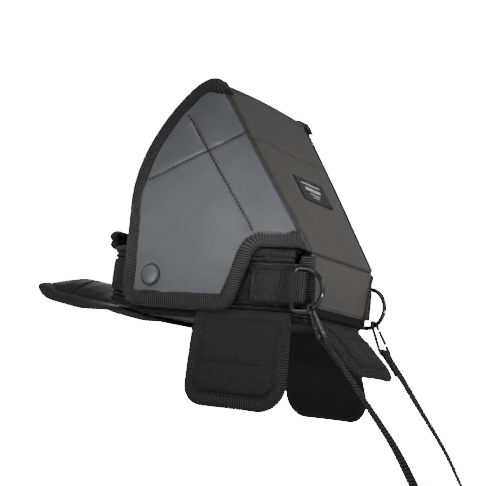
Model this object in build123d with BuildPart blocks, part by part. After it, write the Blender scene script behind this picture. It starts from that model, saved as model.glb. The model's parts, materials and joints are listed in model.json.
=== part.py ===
from build123d import *
import math
import os

# Motorcycle tank bag with a raised sun hood, four magnet flaps and two tie-down straps.
# Millimetres. +X is forward, +Y is left, +Z is up. The origin is the centre of the flat base underside.

# ---- bag plan and height ------------------------------------------------------------------
FRONT_X = 102.0          # front of the padded wall
REAR_X = -105.0          # rear of the padded wall
FRONT_HALF = 46.0        # half width at the front wall
TAPER = 6.5              # the sides open out towards the rear by this angle, in degrees
SHOULDER_X = -50.0       # behind this the sides run straight back
REAR_CORNER_R = 19.0
FRONT_CORNER_R = 5.0
SLOPE_X = -50.0          # behind this the underside rises to follow the tank
SLOPE_RISE = 12.0

SHEET_T = 1.6            # non-slip sheet on the underside
PAD_TOP = 8.0            # foam base pad
BOARD_T = 1.5            # stiffening boards
LOWER_TAPE = (8.4, 15.0)
LOWER_TEETH = (11.0, 12.4)
WALL = (15.2, 48.6)      # padded wall, low and high
WALL_T = 4.0
ZIP_LOW_TAPE = (48.8, 51.6)
ZIP_TEETH_LOW = (51.4, 52.6)
ZIP_TEETH_HIGH = (52.8, 54.0)
ZIP_HIGH_TAPE = (53.8, 55.6)
LID = (55.8, 60.4)
LID_HINGE_X = 88.0
ZIP_INSET = 1.6          # the teeth lie this far behind the face of the wall
FIT = 0.2                # clearance between pieces that touch in the sewn bag

# ---- hood ---------------------------------------------------------------------------------
CREASE_X = 105.0         # outer fold line between front cover and hood
CREASE_Z = 59.0
CREASE_HALF = 52.5
LEAN = 34.4              # hood panels lean back from the vertical, in degrees
MIDDLE_LEN = 116.0       # up the slope to the upper crease
TOP_LEN = 56.0           # from the upper crease to the free edge
TOP_HALF = 63.0          # half width at the free edge
CORD_R = 2.0             # folded edge rolls that act as live hinges
SKIN_T = 1.2
LINING_T = 0.8
LAYER_GAP = 0.1
BIND_W = 11.0            # visible width of the ribbed edge binding
BIND_T = 1.0

# ---- hardware -----------------------------------------------------------------------------
WEB_W = 25.0             # webbing width
WEB_T = 1.5
D_WIRE_R = 1.9
D_ARM = 8.5
D_HALF = 17.0            # half height of the D-ring
HOOK_WIRE_R = 1.4
STRAP_W = 11.0
STRAP_T = 1.6
STRAP_LEN = 145.0
SNAP_X = -45.0
SNAP_Z = 34.0

TAN = math.tan(math.radians(TAPER))
SHOULDER_HALF = FRONT_HALF + (FRONT_X - SHOULDER_X) * TAN
PARTS = "parts"
os.makedirs(PARTS, exist_ok=True)


def save(part, label):
    """Name one finished piece and write its STEP file."""
    part.label = label
    export_step(part, f"{PARTS}/{label}.step")


def save_pair(part, label):
    """Write a right-hand piece and its mirror image on the left."""
    save(part, f"{label}_right")
    with BuildPart() as twin:
        mirror(part, about=Plane.XZ)
    save(twin.part, f"{label}_left")


def save_group(part, label):
    """Write a right-hand piece and its mirror image together as one node."""
    with BuildPart() as both:
        add(part)
        mirror(part, about=Plane.XZ)
    save(both.part, label)


# ---- shared outlines ----------------------------------------------------------------------
def plan_sketch(inset):
    """Bag outline seen from above, drawn in by inset all round."""
    with BuildSketch() as plan:
        with BuildLine():
            Polyline(
                (FRONT_X, -FRONT_HALF),
                (SHOULDER_X, -SHOULDER_HALF),
                (REAR_X, -SHOULDER_HALF),
                (REAR_X, SHOULDER_HALF),
                (SHOULDER_X, SHOULDER_HALF),
                (FRONT_X, FRONT_HALF),
                close=True,
            )
        make_face()
        fillet(plan.vertices().group_by(Axis.X)[0], REAR_CORNER_R)
        fillet(plan.vertices().group_by(Axis.X)[-1], FRONT_CORNER_R)
        offset(amount=-inset, kind=Kind.INTERSECTION)
    return plan.sketch


def rear_wedge():
    """Space under the rising rear underside."""
    with BuildPart() as wedge:
        with BuildSketch(Plane.XZ):
            with BuildLine():
                Polyline(
                    (SLOPE_X, 0),
                    (REAR_X - 5, SLOPE_RISE * (SLOPE_X - REAR_X + 5) / (SLOPE_X - REAR_X)),
                    (REAR_X - 5, -1),
                    (SLOPE_X, -1),
                    close=True,
                )
            make_face()
        extrude(amount=100, both=True)
    return wedge.part


def band(heights, outer_inset, inner_inset, sloped=False):
    """Upright band that follows the bag outline between two heights."""
    outer = plan_sketch(outer_inset)
    inner = plan_sketch(inner_inset)
    low, high = heights
    with BuildPart() as ring:
        with BuildSketch(Plane.XY.offset(low)):
            add(outer)
            add(inner, mode=Mode.SUBTRACT)
        extrude(amount=high - low)
        if sloped:
            add(rear_wedge(), mode=Mode.SUBTRACT)
    return ring.part


def zip_chain(tape_heights, teeth_heights, sloped=False):
    """Zip tape with its row of teeth, set back from the face of the bag."""
    with BuildPart() as chain:
        add(band(tape_heights, 2.5, 3.4, sloped))
        add(band(teeth_heights, ZIP_INSET, 2.6, sloped))
    return chain.part


def keep_behind(part, x_limit):
    """Keep only what lies behind x_limit."""
    with BuildPart() as kept:
        add(part)
        split(bisect_by=Plane.YZ.offset(x_limit), keep=Keep.BOTTOM)
    return kept.part


# ---- base and wall ------------------------------------------------------------------------
def make_base():
    sheet_plan = plan_sketch(3.0)
    pad_plan = plan_sketch(1.0)
    board_plan = plan_sketch(6.0)
    with BuildPart() as sheet:
        with BuildSketch():
            add(sheet_plan)
        extrude(amount=SHEET_T)
        split(bisect_by=Plane.YZ.offset(SLOPE_X), keep=Keep.TOP)
    save(sheet.part, "base_sheet")

    with BuildPart() as pad:
        with BuildSketch(Plane.XY.offset(SHEET_T + FIT)):
            add(pad_plan)
        extrude(amount=PAD_TOP - SHEET_T - FIT)
        add(rear_wedge(), mode=Mode.SUBTRACT)
    save(pad.part, "base_pad")

    with BuildPart() as board:
        with BuildSketch(Plane.XY.offset(PAD_TOP + FIT)):
            add(board_plan)
        extrude(amount=BOARD_T)
        split(bisect_by=Plane.YZ.offset(REAR_X + 25), keep=Keep.TOP)
    save(board.part, "base_board")


def make_wall():
    save(zip_chain(LOWER_TAPE, LOWER_TEETH, sloped=True), "lower_zip_chain")
    save(band(WALL, 0.0, WALL_T), "side_wall")

    outer = plan_sketch(WALL_T + FIT)
    inner = plan_sketch(WALL_T + FIT + LINING_T)
    floor_z = PAD_TOP + BOARD_T + 6.0
    with BuildPart() as lining:
        with BuildSketch(Plane.XY.offset(floor_z)):
            add(outer)
        extrude(amount=LINING_T)
        with BuildSketch(Plane.XY.offset(floor_z)):
            add(outer)
            add(inner, mode=Mode.SUBTRACT)
        extrude(amount=WALL[1] - floor_z)
    save(lining.part, "wall_lining")

    wall_half = zip_chain(ZIP_LOW_TAPE, ZIP_TEETH_LOW)
    save(keep_behind(wall_half, LID_HINGE_X - 2), "upper_zip_wall_half")

    strip_plan = plan_sketch(1.0)
    with BuildPart() as strip:
        with BuildSketch(Plane.XY.offset(WALL[1] + FIT)):
            add(strip_plan)
        extrude(amount=ZIP_HIGH_TAPE[1] - WALL[1] - 1.6)
        split(bisect_by=Plane.YZ.offset(LID_HINGE_X + 1.5), keep=Keep.TOP)
    save(strip.part, "front_top_strip")


def make_front_cover():
    """Lower front section of the cover, with its bound corners."""
    cover_low = 8.4
    low_half = CREASE_HALF - 4.0
    cover_top = CREASE_Z - 2 * CORD_R - FIT
    with BuildPart() as cover:
        with BuildSketch(Plane.YZ.offset(CREASE_X - SKIN_T)):
            with BuildLine():
                Polyline(
                    (-low_half, cover_low),
                    (low_half, cover_low),
                    (low_half, cover_top),
                    (-low_half, cover_top),
                    close=True,
                )
            make_face()
        extrude(amount=SKIN_T)
    save(cover.part, "front_cover_skin")

    with BuildPart() as binding:
        with BuildSketch(Plane.XY.offset(cover_low)):
            with BuildLine():
                Polyline(
                    (CREASE_X + BIND_T, 4.5 - low_half),
                    (CREASE_X + BIND_T, -low_half - 1.3),
                    (FRONT_X - 4.5, -low_half - 1.3),
                    (FRONT_X - 4.5, -low_half - 0.3),
                    (CREASE_X + 0.1, -low_half - 0.3),
                    (CREASE_X + 0.1, 4.5 - low_half),
                    close=True,
                )
            make_face()
        extrude(amount=cover_top - cover_low - 1)
    save_group(binding.part, "corner_bindings")


# ---- lid ----------------------------------------------------------------------------------
def make_lid():
    lid_half = zip_chain(ZIP_HIGH_TAPE, ZIP_TEETH_HIGH)
    save(keep_behind(lid_half, LID_HINGE_X - 2), "upper_zip_lid_half")
    rim_plan = plan_sketch(1.2)
    low, high = LID
    window_x = -8.0
    window_len = 118.0
    window_w = 76.0
    with BuildPart() as panel:
        with BuildSketch(Plane.XY.offset(low)):
            add(rim_plan)
        extrude(amount=high - low)
        split(bisect_by=Plane.YZ.offset(LID_HINGE_X), keep=Keep.BOTTOM)
        with BuildSketch(Plane.XY.offset(high)):
            with Locations((window_x, 0)):
                RectangleRounded(window_len, window_w, 8)
        extrude(amount=low - high, mode=Mode.SUBTRACT)
        with BuildSketch(Plane.XY.offset(high)):
            with Locations((window_x, 0)):
                RectangleRounded(window_len + 12, window_w + 12, 12)
        extrude(amount=-1.2, mode=Mode.SUBTRACT)
    save(panel.part, "lid_panel")

    with BuildPart() as window:
        with BuildSketch(Plane.XY.offset(high - 1.0)):
            with Locations((window_x, 0)):
                RectangleRounded(window_len + 11, window_w + 11, 11.5)
        extrude(amount=0.6)
    save(window.part, "lid_window")

    with BuildPart() as backing:
        with BuildSketch(Plane.XY.offset(low + 0.3)):
            with Locations((window_x, 0)):
                RectangleRounded(window_len - 1, window_w - 1, 7.5)
        extrude(amount=LINING_T)
    save(backing.part, "lid_pocket_backing")

    rim = band((low, high), -0.2, 1.1)
    save(keep_behind(rim, LID_HINGE_X), "lid_binding")


# ---- hood ---------------------------------------------------------------------------------
LEAN_SIN = math.sin(math.radians(LEAN))
LEAN_COS = math.cos(math.radians(LEAN))
HOOD_LEN = MIDDLE_LEN + TOP_LEN
HOOD_PLANE = Plane(
    origin=(CREASE_X, 0, CREASE_Z), x_dir=(0, 1, 0), z_dir=(LEAN_COS, 0, LEAN_SIN)
)


def hood_half(length):
    """Half width of the hood at a distance up its slope."""
    return CREASE_HALF + (TOP_HALF - CREASE_HALF) * length / HOOD_LEN


def hood_sheet(start, end, side_gap, depth, thickness):
    """Flat layer of the hood between two lengths up the slope, depth below its outer face."""
    with BuildPart() as layer:
        with BuildSketch(HOOD_PLANE.offset(-depth - thickness)):
            with BuildLine():
                Polyline(
                    (-hood_half(start) + side_gap, start),
                    (hood_half(start) - side_gap, start),
                    (hood_half(end) - side_gap, end),
                    (-hood_half(end) + side_gap, end),
                    close=True,
                )
            make_face()
        extrude(amount=thickness)
    return layer.part


def make_hood():
    side_gap = 2 * CORD_R + FIT
    foot = CORD_R + 1.2
    skin_end = HOOD_LEN - 1.2
    board_depth = SKIN_T + LAYER_GAP
    lining_depth = board_depth + BOARD_T + LAYER_GAP
    save(hood_sheet(foot, MIDDLE_LEN - 0.4, side_gap, 0, SKIN_T), "hood_middle_skin")
    save(hood_sheet(MIDDLE_LEN + 0.4, skin_end, side_gap, 0, SKIN_T), "hood_top_skin")
    with BuildPart() as boards:
        add(hood_sheet(foot, MIDDLE_LEN - 1.5, side_gap, board_depth, BOARD_T))
        add(hood_sheet(MIDDLE_LEN + 1.5, skin_end, side_gap, board_depth, BOARD_T))
    save(boards.part, "hood_boards")
    save(hood_sheet(foot, skin_end, side_gap, lining_depth, LINING_T), "hood_lining")

    stack = lining_depth + LINING_T
    with BuildPart() as binding:
        with BuildSketch(Plane.XZ):
            with BuildLine():
                Polyline(
                    (HOOD_LEN, BIND_T),
                    (HOOD_LEN, -stack - BIND_T),
                    (HOOD_LEN - BIND_W, -stack - BIND_T),
                    (HOOD_LEN - BIND_W, -stack - 0.1),
                    (skin_end + 0.1, -stack - 0.1),
                    (skin_end + 0.1, 0.1),
                    (HOOD_LEN - BIND_W, 0.1),
                    (HOOD_LEN - BIND_W, BIND_T),
                    close=True,
                )
            make_face()
        extrude(amount=TOP_HALF - side_gap - 1, both=True)
    placed = Plane(
        origin=(CREASE_X, 0, CREASE_Z),
        x_dir=(-LEAN_SIN, 0, LEAN_COS),
        z_dir=(LEAN_COS, 0, LEAN_SIN),
    )
    save(placed.location * binding.part, "hood_top_binding")

    with BuildPart() as patch:
        with BuildSketch(HOOD_PLANE.offset(0.1)):
            with Locations((5, 75)):
                RectangleRounded(48, 28, 1.5)
        extrude(amount=0.7)
    save(patch.part, "label_patch")

    with BuildPart() as crease:
        with BuildSketch(Plane.XZ):
            with Locations((CREASE_X - CORD_R, CREASE_Z - CORD_R + 0.6)):
                Circle(CORD_R)
        extrude(amount=CREASE_HALF - side_gap - 1, both=True)
    save(crease.part, "hood_crease_roll")


# ---- wings, right side; the left is their mirror image -------------------------------------
SIN_T = math.sin(math.radians(TAPER))
COS_T = math.cos(math.radians(TAPER))
WING_PLANE = Plane(
    origin=(CREASE_X, -CREASE_HALF, CREASE_Z), x_dir=(COS_T, SIN_T, 0), z_dir=(SIN_T, -COS_T, 0)
)
WING_PAD_T = 2.4
SNAP_UV = ((SNAP_X - CREASE_X) / COS_T, SNAP_Z - CREASE_Z)
EDGE_END = Vector(-HOOD_LEN * LEAN_SIN, 0 - (TOP_HALF - CREASE_HALF), HOOD_LEN * LEAN_COS)


def wing_outline(inset):
    """Wing outline in its own plane: u forward from the crease corner, v up."""
    edge_u = -HOOD_LEN * LEAN_SIN
    edge_v = HOOD_LEN * LEAN_COS
    start = 0.02
    with BuildSketch() as outline:
        with BuildLine():
            front_low = (edge_u * start - 5.5, edge_v * start)
            apex = (edge_u - 9, edge_v + 4)
            Polyline(front_low, apex)
            ThreePointArc(apex, (-146, 112), (-174, 62))
            ThreePointArc((-174, 62), (-181, 28), (-180, -10))
            Polyline(
                (-180, -10),
                (-176, -51.5),
                (-75, -50.5),
                (-61, 13),
                (-28, 13),
                front_low,
            )
        make_face()
        low_corners = outline.vertices().group_by(Axis.Y)[0] + outline.vertices().group_by(Axis.Y)[1]
        fillet(low_corners.sort_by(Axis.X)[0], 22)
        fillet(outline.vertices().sort_by(Axis.Y).filter_by(lambda v: abs(v.X + 75) < 0.1), 17)
        fillet(outline.vertices().filter_by(lambda v: abs(v.X + 61) < 0.1), 14)
        fillet(outline.vertices().filter_by(lambda v: abs(v.X + 28) < 0.1), 9)
        offset(amount=-inset, kind=Kind.INTERSECTION)
    return outline.sketch


def wing_layer(outline, depth, thickness):
    """One flat layer of the wing, depth below its outer face."""
    with BuildPart() as layer:
        with BuildSketch(WING_PLANE.offset(-depth - thickness)):
            add(outline)
        extrude(amount=thickness)
    return layer.part


def make_wing():
    full = wing_outline(0)
    sheet = wing_outline(1.2)
    slot = wing_outline(1.1)
    open_middle = wing_outline(BIND_W)
    padding_depth = SKIN_T + LAYER_GAP
    stack = padding_depth + WING_PAD_T
    snap_u, snap_v = SNAP_UV
    save_pair(wing_layer(sheet, 0, SKIN_T), "wing_skin")
    with BuildPart() as padding:
        with BuildSketch(WING_PLANE.offset(-stack)):
            add(sheet)
        extrude(amount=WING_PAD_T)
        with BuildSketch(WING_PLANE.offset(-stack)):
            with Locations((snap_u, snap_v)):
                Circle(6.4)
        extrude(amount=1.0, mode=Mode.SUBTRACT)
    save_pair(padding.part, "wing_padding")

    with BuildPart() as binding:
        with BuildSketch(WING_PLANE.offset(-stack - BIND_T)):
            add(full)
            add(open_middle, mode=Mode.SUBTRACT)
        extrude(amount=stack + 2 * BIND_T)
        with BuildSketch(WING_PLANE.offset(-stack - 0.1)):
            add(slot)
        extrude(amount=stack + 0.2, mode=Mode.SUBTRACT)
        with BuildSketch(WING_PLANE.offset(-stack - BIND_T)):
            with BuildLine():
                edge_u = -HOOD_LEN * LEAN_SIN
                edge_v = HOOD_LEN * LEAN_COS
                Polyline(
                    (0, -12),
                    (-18, 6),
                    (edge_u * 0.945 - 10, edge_v * 0.945),
                    (edge_u + 20, edge_v + 20),
                    close=True,
                )
            make_face()
        extrude(amount=stack + 2 * BIND_T, mode=Mode.SUBTRACT)
    save_pair(binding.part, "wing_binding")

    with BuildPart() as snap:
        with BuildSketch(WING_PLANE.offset(0.1)):
            with Locations((snap_u, snap_v)):
                Circle(8.8)
        extrude(amount=2.6)
        fillet(snap.edges().filter_by(GeomType.CIRCLE).sort_by(Axis.Y)[0], 2.2)
        with BuildSketch(WING_PLANE.offset(-stack - 0.8)):
            with Locations((snap_u, snap_v)):
                Circle(6.2)
                Circle(3.0, mode=Mode.SUBTRACT)
        extrude(amount=1.6)
    save_pair(snap.part, "wing_snap")


def make_edge_roll():
    """Folded edge between hood and wing: the wing hinges on it."""
    corner = Vector(CREASE_X, -CREASE_HALF, CREASE_Z)
    inward = Vector(-LEAN_COS, 0, -LEAN_SIN) * CORD_R + Vector(0, CORD_R, 0)
    direction = EDGE_END.normalized()
    start = corner + inward + direction * 6
    with BuildPart() as roll:
        with BuildSketch(Plane(origin=start, z_dir=direction)):
            Circle(CORD_R)
        extrude(amount=EDGE_END.length - 8)
    save_pair(roll.part, "edge_roll")


# ---- side hardware, right side --------------------------------------------------------------
SIDE_PLANE = Plane(
    origin=(FRONT_X, -FRONT_HALF, 0), x_dir=(COS_T, SIN_T, 0), z_dir=(SIN_T, -COS_T, 0)
)
WEB_MID_Z = 29.5
PAD_T = 4.0
BAR_U = -10.0            # bar of the D-ring, forward from the front of the wall
BAR_W = PAD_T + 3.9      # and outward from the side of the wall
WEB_BACK_U = -50.5       # rear end of the webbing
LOOP_SLACK = 7.0         # the webbing loop is this much longer than the bar needs
D_MID_Z = WEB_MID_Z + WEB_W / 2 + D_WIRE_R + 0.3 - D_HALF


def make_side_hardware():
    with BuildPart() as pad:
        with BuildSketch(SIDE_PLANE.offset(FIT)):
            with Locations((-31.5, WEB_MID_Z - 0.5)):
                RectangleRounded(50, 28, 4)
        extrude(amount=PAD_T - FIT)
    save_group(pad.part, "side_pads")

    loop_r = D_WIRE_R + 0.3
    loop_foot = SIDE_PLANE.from_local_coords((0, WEB_MID_Z - WEB_W / 2, 0))
    loop_plane = Plane(loop_foot, x_dir=SIDE_PLANE.x_dir, z_dir=(0, 0, 1))
    with BuildPart() as webbing:
        with BuildSketch(SIDE_PLANE.offset(PAD_T + FIT)):
            with Locations(((BAR_U + WEB_BACK_U) / 2, WEB_MID_Z)):
                Rectangle(BAR_U - WEB_BACK_U, WEB_W)
        extrude(amount=WEB_T)
        with BuildSketch(loop_plane):
            with Locations((BAR_U + LOOP_SLACK / 2, -BAR_W)):
                SlotCenterToCenter(LOOP_SLACK, 2 * (loop_r + WEB_T))
        extrude(amount=WEB_W)
        with BuildSketch(loop_plane):
            with Locations((BAR_U + LOOP_SLACK / 2, -BAR_W)):
                SlotCenterToCenter(LOOP_SLACK, 2 * loop_r)
        extrude(amount=WEB_W, mode=Mode.SUBTRACT)
    save_group(webbing.part, "webbing_tabs")

    ring_plane = SIDE_PLANE.offset(BAR_W)
    top = D_MID_Z + D_HALF
    bottom = D_MID_Z - D_HALF
    bend = BAR_U + D_ARM
    with BuildPart() as d_ring:
        with BuildLine(ring_plane) as wire:
            upper = FilletPolyline((BAR_U, D_MID_Z), (BAR_U, top), (bend, top), radius=3)
            ThreePointArc((bend, top), (bend + D_HALF, D_MID_Z), (bend, bottom))
            FilletPolyline((bend, bottom), (BAR_U, bottom), (BAR_U, D_MID_Z), radius=3)
        with BuildSketch(Plane(origin=upper @ 0, z_dir=upper % 0)):
            Circle(D_WIRE_R)
        sweep(path=wire.wire())
    save_pair(d_ring.part, "d_ring")

    snap_point = SIDE_PLANE.to_local_coords(WING_PLANE.from_local_coords((*SNAP_UV, 0)))
    socket_w = snap_point.Z - SKIN_T - LAYER_GAP - WING_PAD_T
    with BuildPart() as stud:
        with BuildSketch(SIDE_PLANE.offset(FIT)):
            with Locations((snap_point.X, snap_point.Y)):
                Circle(6.0)
        extrude(amount=0.7)
        with BuildSketch(SIDE_PLANE.offset(FIT)):
            with Locations((snap_point.X, snap_point.Y)):
                Circle(2.5)
        extrude(amount=socket_w - BIND_T - 6 * FIT)
    save_group(stud.part, "snap_studs")


# ---- hooks and straps, right side -----------------------------------------------------------
HANG = 60.0              # the hook hangs from the D-ring this far below its forward direction
HOOK_LEN = 26.0
HOOK_HALF = 7.4
HOOK_TOP_R = D_WIRE_R + HOOK_WIRE_R + 0.5
GATE_LOW = 19.0
GATE_HIGH = 3.5


def hook_origin():
    """Centre of the D-ring wire where the hook hangs."""
    u = BAR_U + D_ARM + D_HALF * math.cos(math.radians(HANG))
    v = D_MID_Z - D_HALF * math.sin(math.radians(HANG))
    return SIDE_PLANE.from_local_coords((u, v, BAR_W))


def hook_plane():
    """Plane of the hook: local x runs down the hook, local y outward from the bag."""
    forward = SIDE_PLANE.x_dir
    down = forward * math.cos(math.radians(HANG)) + Vector(0, 0, -math.sin(math.radians(HANG)))
    return Plane(origin=hook_origin(), x_dir=down, z_dir=down.cross(SIDE_PLANE.z_dir))


def hook_sides():
    """Where each straight side of the hook leaves its top arc, and a function for its half width."""
    reach = math.hypot(HOOK_LEN, HOOK_HALF)
    angle = math.atan2(HOOK_HALF, HOOK_LEN) + math.acos(HOOK_TOP_R / reach)
    leave = (HOOK_TOP_R * math.cos(angle), HOOK_TOP_R * math.sin(angle))
    slope = (HOOK_HALF - leave[1]) / (HOOK_LEN - leave[0])
    return leave, lambda down: leave[1] + slope * (down - leave[0])


def make_hook():
    plane = hook_plane()
    leave, half_at = hook_sides()
    with BuildPart() as hook:
        with BuildLine(plane) as wire:
            tip = Line((GATE_HIGH, half_at(GATE_HIGH)), leave)
            ThreePointArc(leave, (-HOOK_TOP_R, 0), (leave[0], -leave[1]))
            FilletPolyline(
                (leave[0], -leave[1]),
                (HOOK_LEN, -HOOK_HALF),
                (HOOK_LEN, HOOK_HALF),
                (GATE_LOW, half_at(GATE_LOW)),
                radius=1.6,
            )
        with BuildSketch(Plane(origin=tip @ 0, z_dir=tip % 0)):
            Circle(HOOK_WIRE_R)
        sweep(path=wire.wire())
    save_pair(hook.part, "snap_hook")

    low = GATE_LOW - HOOK_WIRE_R
    high = GATE_HIGH + HOOK_WIRE_R
    start = plane.from_local_coords((low, half_at(low), 0))
    end = plane.from_local_coords((high, half_at(high), 0))
    along = end - start
    with BuildPart() as gate:
        with BuildSketch(Plane(origin=start, z_dir=along)):
            Circle(HOOK_WIRE_R)
        extrude(amount=along.length)
    save_pair(gate.part, "hook_gate")


STRAP_DIR = Vector(0.62, 0.14, -0.771).normalized()


def make_strap():
    plane = hook_plane()
    bar = plane.from_local_coords((HOOK_LEN, 0, 0))
    across = plane.y_dir
    down = (STRAP_DIR - across * STRAP_DIR.dot(across)).normalized()
    face = down.cross(across)
    flat = Plane(origin=bar, x_dir=across, z_dir=face)
    outer_r = HOOK_WIRE_R + 0.3 + STRAP_T
    sign = 1 if flat.y_dir.dot(down) > 0 else -1
    with BuildPart() as strap:
        with BuildSketch(flat.offset(-STRAP_T / 2)):
            with Locations((0, sign * (STRAP_LEN / 2 + HOOK_WIRE_R + 1))):
                Rectangle(STRAP_W, STRAP_LEN)
        extrude(amount=STRAP_T)
        with BuildSketch(Plane(origin=bar - across * STRAP_W / 2, z_dir=across)):
            Circle(outer_r)
        extrude(amount=STRAP_W)
        with BuildSketch(Plane(origin=bar - across * STRAP_W / 2, z_dir=across)):
            Circle(HOOK_WIRE_R + 0.3)
        extrude(amount=STRAP_W, mode=Mode.SUBTRACT)
    save_pair(strap.part, "tie_strap")


# ---- magnet flaps ---------------------------------------------------------------------------
FLAP_T = 3.6
MAGNET_T = 1.8


def flap_outline(width, length, skew, tip_r, inset):
    """Flap outline: root along local x, length along local y, the tip shifted by skew."""
    half = width / 2
    with BuildSketch() as outline:
        with BuildLine():
            Polyline((-half, 0), (half, 0), (half + skew, length), (skew - half, length), close=True)
        make_face()
        fillet(outline.vertices().group_by(Axis.Y)[-1], tip_r)
        offset(amount=-inset, kind=Kind.INTERSECTION)
    return outline.sketch


def make_flap(plane, width, length, skew, tip_r):
    """Fabric flap with two magnets inside and a bound edge. The plane is its outer face."""
    full, sheet, slot, middle = [
        flap_outline(width, length, skew, tip_r, inset) for inset in (0, 1.2, 1.1, BIND_W - 1)
    ]
    mid_depth = FLAP_T / 2
    magnet_w = width * 0.3
    magnet_l = length * 0.42
    spots = [(skew * 0.5 + side * width * 0.18, length * 0.55) for side in (-1, 1)]
    with BuildPart() as body:
        with BuildSketch(plane.offset(-FLAP_T)):
            add(sheet)
        extrude(amount=FLAP_T)
        with BuildSketch(plane.offset(-mid_depth - MAGNET_T / 2 - 0.1)):
            with Locations(*spots):
                Rectangle(magnet_w + 0.6, magnet_l + 0.6)
        extrude(amount=MAGNET_T + 0.2, mode=Mode.SUBTRACT)
    with BuildPart() as magnets:
        with BuildSketch(plane.offset(-mid_depth - MAGNET_T / 2)):
            with Locations(*spots):
                Rectangle(magnet_w, magnet_l)
        extrude(amount=MAGNET_T)
    with BuildPart() as binding:
        with BuildSketch(plane.offset(-FLAP_T - BIND_T)):
            add(full)
            add(middle, mode=Mode.SUBTRACT)
        extrude(amount=FLAP_T + 2 * BIND_T)
        with BuildSketch(plane.offset(-FLAP_T - 0.1)):
            add(slot)
        extrude(amount=FLAP_T + 0.2, mode=Mode.SUBTRACT)
        with BuildSketch(plane.offset(-FLAP_T - BIND_T)):
            Rectangle(width * 2, 2 * BIND_W + 2)
        extrude(amount=FLAP_T + 2 * BIND_T, mode=Mode.SUBTRACT)
    return body.part, magnets.part, binding.part


def save_flap(pieces, name, saver):
    labels = [f"{name}_flap", f"{name}_flap_magnets", f"{name}_flap_binding"]
    for piece, label in zip(pieces, labels):
        saver(piece, label)


SIDE_FLAP_X = 45.0
SIDE_FLAP_HANG = 18.0    # from the vertical
REAR_FLAP_RISE = 9.0     # from the horizontal
REAR_FLAP_ROOT = (-56.0, 0, -1.7)
FRONT_FLAP_DROOP = 42.0
FRONT_FLAP_ROOT = (104.5, 0, 3.0)
SIDE_FLAP_OUT = 1.6      # the side flap hinges this far outside the wall
SIDE_FLAP_Z = 3.0


def flap_plane(root, along, reach):
    """Outer face of a flap whose root line runs along one direction and which reaches out in another."""
    normal = along.cross(reach)
    return Plane(origin=Vector(root) + normal * (FLAP_T / 2), x_dir=along, z_dir=normal)


def make_flaps():
    hang = math.radians(SIDE_FLAP_HANG)
    outward = Vector(SIN_T, -COS_T, 0)
    backward = Vector(-COS_T, -SIN_T, 0)
    down = outward * math.sin(hang) + Vector(0, 0, -math.cos(hang))
    wall = Vector(SIDE_FLAP_X, -(FRONT_HALF + (FRONT_X - SIDE_FLAP_X) * TAN), SIDE_FLAP_Z)
    plane = flap_plane(wall + outward * SIDE_FLAP_OUT, backward, down)
    save_flap(make_flap(plane, 90, 78, -13, 20), "side", save_pair)

    rise = math.radians(REAR_FLAP_RISE)
    back = Vector(-math.cos(rise), 0, math.sin(rise))
    plane = flap_plane(REAR_FLAP_ROOT, Vector(0, 1, 0), back)
    save_flap(make_flap(plane, 92, 174, 0, 40), "rear", save)

    droop = math.radians(FRONT_FLAP_DROOP)
    ahead = Vector(math.cos(droop), 0, -math.sin(droop))
    plane = flap_plane(FRONT_FLAP_ROOT, Vector(0, -1, 0), ahead)
    save_flap(make_flap(plane, 70, 56, 0, 18), "front", save)


# ---- zip sliders, on the left side ------------------------------------------------------------
SLIDER_LEN = 8.0
SLIDER_H = 6.0
SLIDER_T = 0.8
PULL_LEN = 22.0
PULL_T = 0.8
PIN_R = 0.4
PIN_W = 0.35             # the pin stands this far outside the face of the wall


def make_slider(name, x, z):
    """Slider on the teeth with an upright pin, and a pull tab that lies back along the zip."""
    wall = Vector(x, FRONT_HALF + (FRONT_X - x) * TAN, z)
    left = Plane(origin=wall, x_dir=(COS_T, -SIN_T, 0), z_dir=(SIN_T, COS_T, 0))
    face = 0.1 - ZIP_INSET
    tab_h = 0.5
    tab_z = (SLIDER_H - tab_h) / 2
    pin_foot = left.from_local_coords((0, -tab_z, PIN_W))
    pin_plane = Plane(origin=pin_foot, x_dir=left.x_dir, z_dir=left.y_dir)
    with BuildPart() as slider:
        with BuildSketch(left.offset(face)):
            RectangleRounded(SLIDER_LEN, SLIDER_H, 1.5)
        extrude(amount=SLIDER_T)
        with BuildSketch(left.offset(face)):
            with Locations((0, tab_z), (0, -tab_z)):
                Rectangle(2, tab_h)
        extrude(amount=PIN_W + PIN_R - face)
        with BuildSketch(pin_plane):
            Circle(PIN_R)
        extrude(amount=2 * tab_z)
    save(slider.part, f"{name}_slider")

    loop_h = SLIDER_H - 2 * tab_h - 0.3
    loop_plane = Plane(
        origin=left.from_local_coords((0, -loop_h / 2, PIN_W)), x_dir=left.x_dir, z_dir=left.y_dir
    )
    with BuildPart() as pull:
        with BuildSketch(left.offset(PIN_W - PULL_T / 2)):
            with Locations((-PULL_LEN / 2, 0)):
                Rectangle(PULL_LEN, loop_h)
        extrude(amount=PULL_T)
        with BuildSketch(loop_plane):
            Circle(PIN_R + 0.5)
        extrude(amount=loop_h)
        with BuildSketch(loop_plane):
            Circle(PIN_R + 0.1)
        extrude(amount=loop_h, mode=Mode.SUBTRACT)
    save(pull.part, f"{name}_pull")


make_base()
make_wall()
make_front_cover()
make_lid()
make_hood()
make_wing()
make_edge_roll()
make_side_hardware()
make_hook()
make_strap()
make_flaps()
make_slider("upper_zip", 72.0, 52.7)
make_slider("lower_zip", 60.0, 11.7)
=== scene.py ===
import json
import math

import bpy
import numpy as np
from mathutils import Matrix
from mathutils.geometry import delaunay_2d_cdt


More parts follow.
